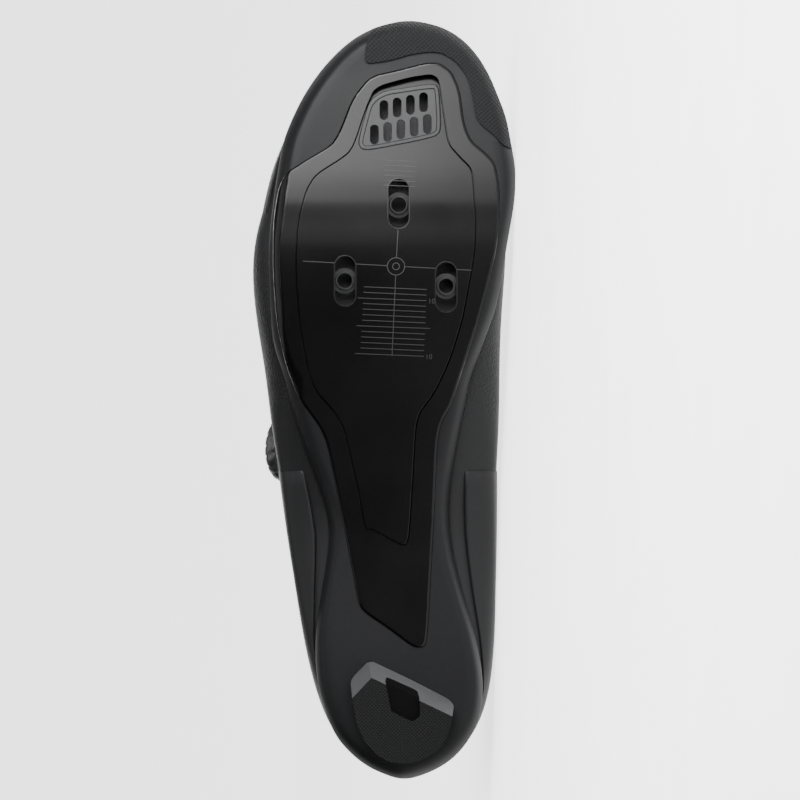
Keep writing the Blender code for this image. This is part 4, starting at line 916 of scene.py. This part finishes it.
# Lace and guides
# One thin coated steel lace runs from the dial through four low guides and ends in the last.
# The guides are moulded of the overlays' plastic and bonded to the eyestay.
coated = moulded("coated_lace", (0.02, 0.02, 0.021), roughness=0.45, grain=0.0003, depth=0.00004)
lace = finished(from_cad("lace"), "dial_lace", coated, "lace")
rounded_off(lace, 1)
for number in (1, 2, 3, 4):
    node = f"lace_guide_{number}"
    sharpened(finished(from_cad(node), f"eyestay_guide_{number}", overlay_skin, node), 40)

# Camera, floor and light
# A long lens looks straight at the sole, as the photograph does, with the toe up in the picture.
# The floor curves up behind the shoe into a pale backdrop, and glows a little so that it is near white.
# The main light stands low at the toe's end; weaker ones fill the sides and the top.
LENS, SENSOR, PICTURE = 250.0, 36.0, 800
far = LENS / SENSOR * PICTURE * PIXEL
aim = LAID @ Vector(((HEEL_ROW - PICTURE / 2) * PIXEL, 0.0, 0.006))
camera = placed("camera", bpy.data.cameras.new("camera"))
camera.data.lens = LENS
camera.data.sensor_width = SENSOR
camera.data.clip_end = 30.0
camera.matrix_world = Matrix.Translation(aim - UP_WAY * far) @ Matrix(
    (INNER_WAY, TOE_WAY, -UP_WAY)).transposed().to_4x4()
bpy.context.scene.camera = camera

FLOOR_REACH, BACK_HEIGHT, BACK_ROUND, FLOOR_GLOW = 4.0, 3.0, 1.2, 2.1
floor_bm = bmesh.new()
bmesh.ops.create_grid(floor_bm, x_segments=1, y_segments=1, size=FLOOR_REACH)
back = [e for e in floor_bm.edges if all(v.co.y > FLOOR_REACH - 0.1 for v in e.verts)]
made = bmesh.ops.extrude_edge_only(floor_bm, edges=back)["geom"]
bmesh.ops.translate(floor_bm, verts=[v for v in made if isinstance(v, bmesh.types.BMVert)],
                    vec=(0, 0, BACK_HEIGHT))
bmesh.ops.bevel(floor_bm, geom=back, offset=BACK_ROUND, offset_type="OFFSET", segments=24, profile=0.5,
                affect="EDGES", material=-1)
bmesh.ops.recalc_face_normals(floor_bm, faces=floor_bm.faces)
for face in floor_bm.faces:
    face.smooth = True
floor_mesh = bpy.data.meshes.new("studio_floor")
floor_bm.to_mesh(floor_mesh)
floor_bm.free()
studio_floor = placed("studio_floor", floor_mesh)
pale = moulded("pale_floor", (0.84, 0.84, 0.84), roughness=0.9, grain=0.004, depth=0.00005, shine=0.1)
floor_mesh.materials.append(pale)
shader = pale.node_tree.nodes["Principled BSDF"]
shader.inputs["Emission Color"].default_value = (1.0, 1.0, 1.0, 1.0)
shader.inputs["Emission Strength"].default_value = FLOOR_GLOW


def soft_light(name, spot, towards, size, power):
    """A rectangular lamp at a spot, turned towards a place."""
    light = bpy.data.lights.new(name, "AREA")
    light.shape = "RECTANGLE"
    light.size, light.size_y = size
    light.energy = power
    lamp = placed(name, light)
    lamp.location = spot
    lamp.rotation_euler = (Vector(towards) - Vector(spot)).to_track_quat("-Z", "Y").to_euler()


soft_light("toe_end", (0.76, -0.88, 0.34), (0.0, 0.0, 0.06), (1.0, 0.55), 42)
soft_light("toe_fill", (0.165, -0.99, 0.34), (0.0, 0.0, 0.06), (0.15, 0.55), 0.8)
soft_light("toe_side", (1.10, -0.55, 0.30), (-0.05, -0.05, 0.05), (0.5, 0.45), 16)
soft_light("edge_strip", (0.05, -0.80, 0.95), (0.0, -0.05, 0.05), (0.9, 0.12), 4)
soft_light("overhead", (0.0, 0.0, 2.2), (0, 0.0, 0), (2.2, 1.6), 24)
world = bpy.data.worlds.new("studio")
world.use_nodes = True
world.node_tree.nodes["Background"].inputs["Color"].default_value = (1, 1, 1, 1)
world.node_tree.nodes["Background"].inputs["Strength"].default_value = 0.08
bpy.context.scene.world = world
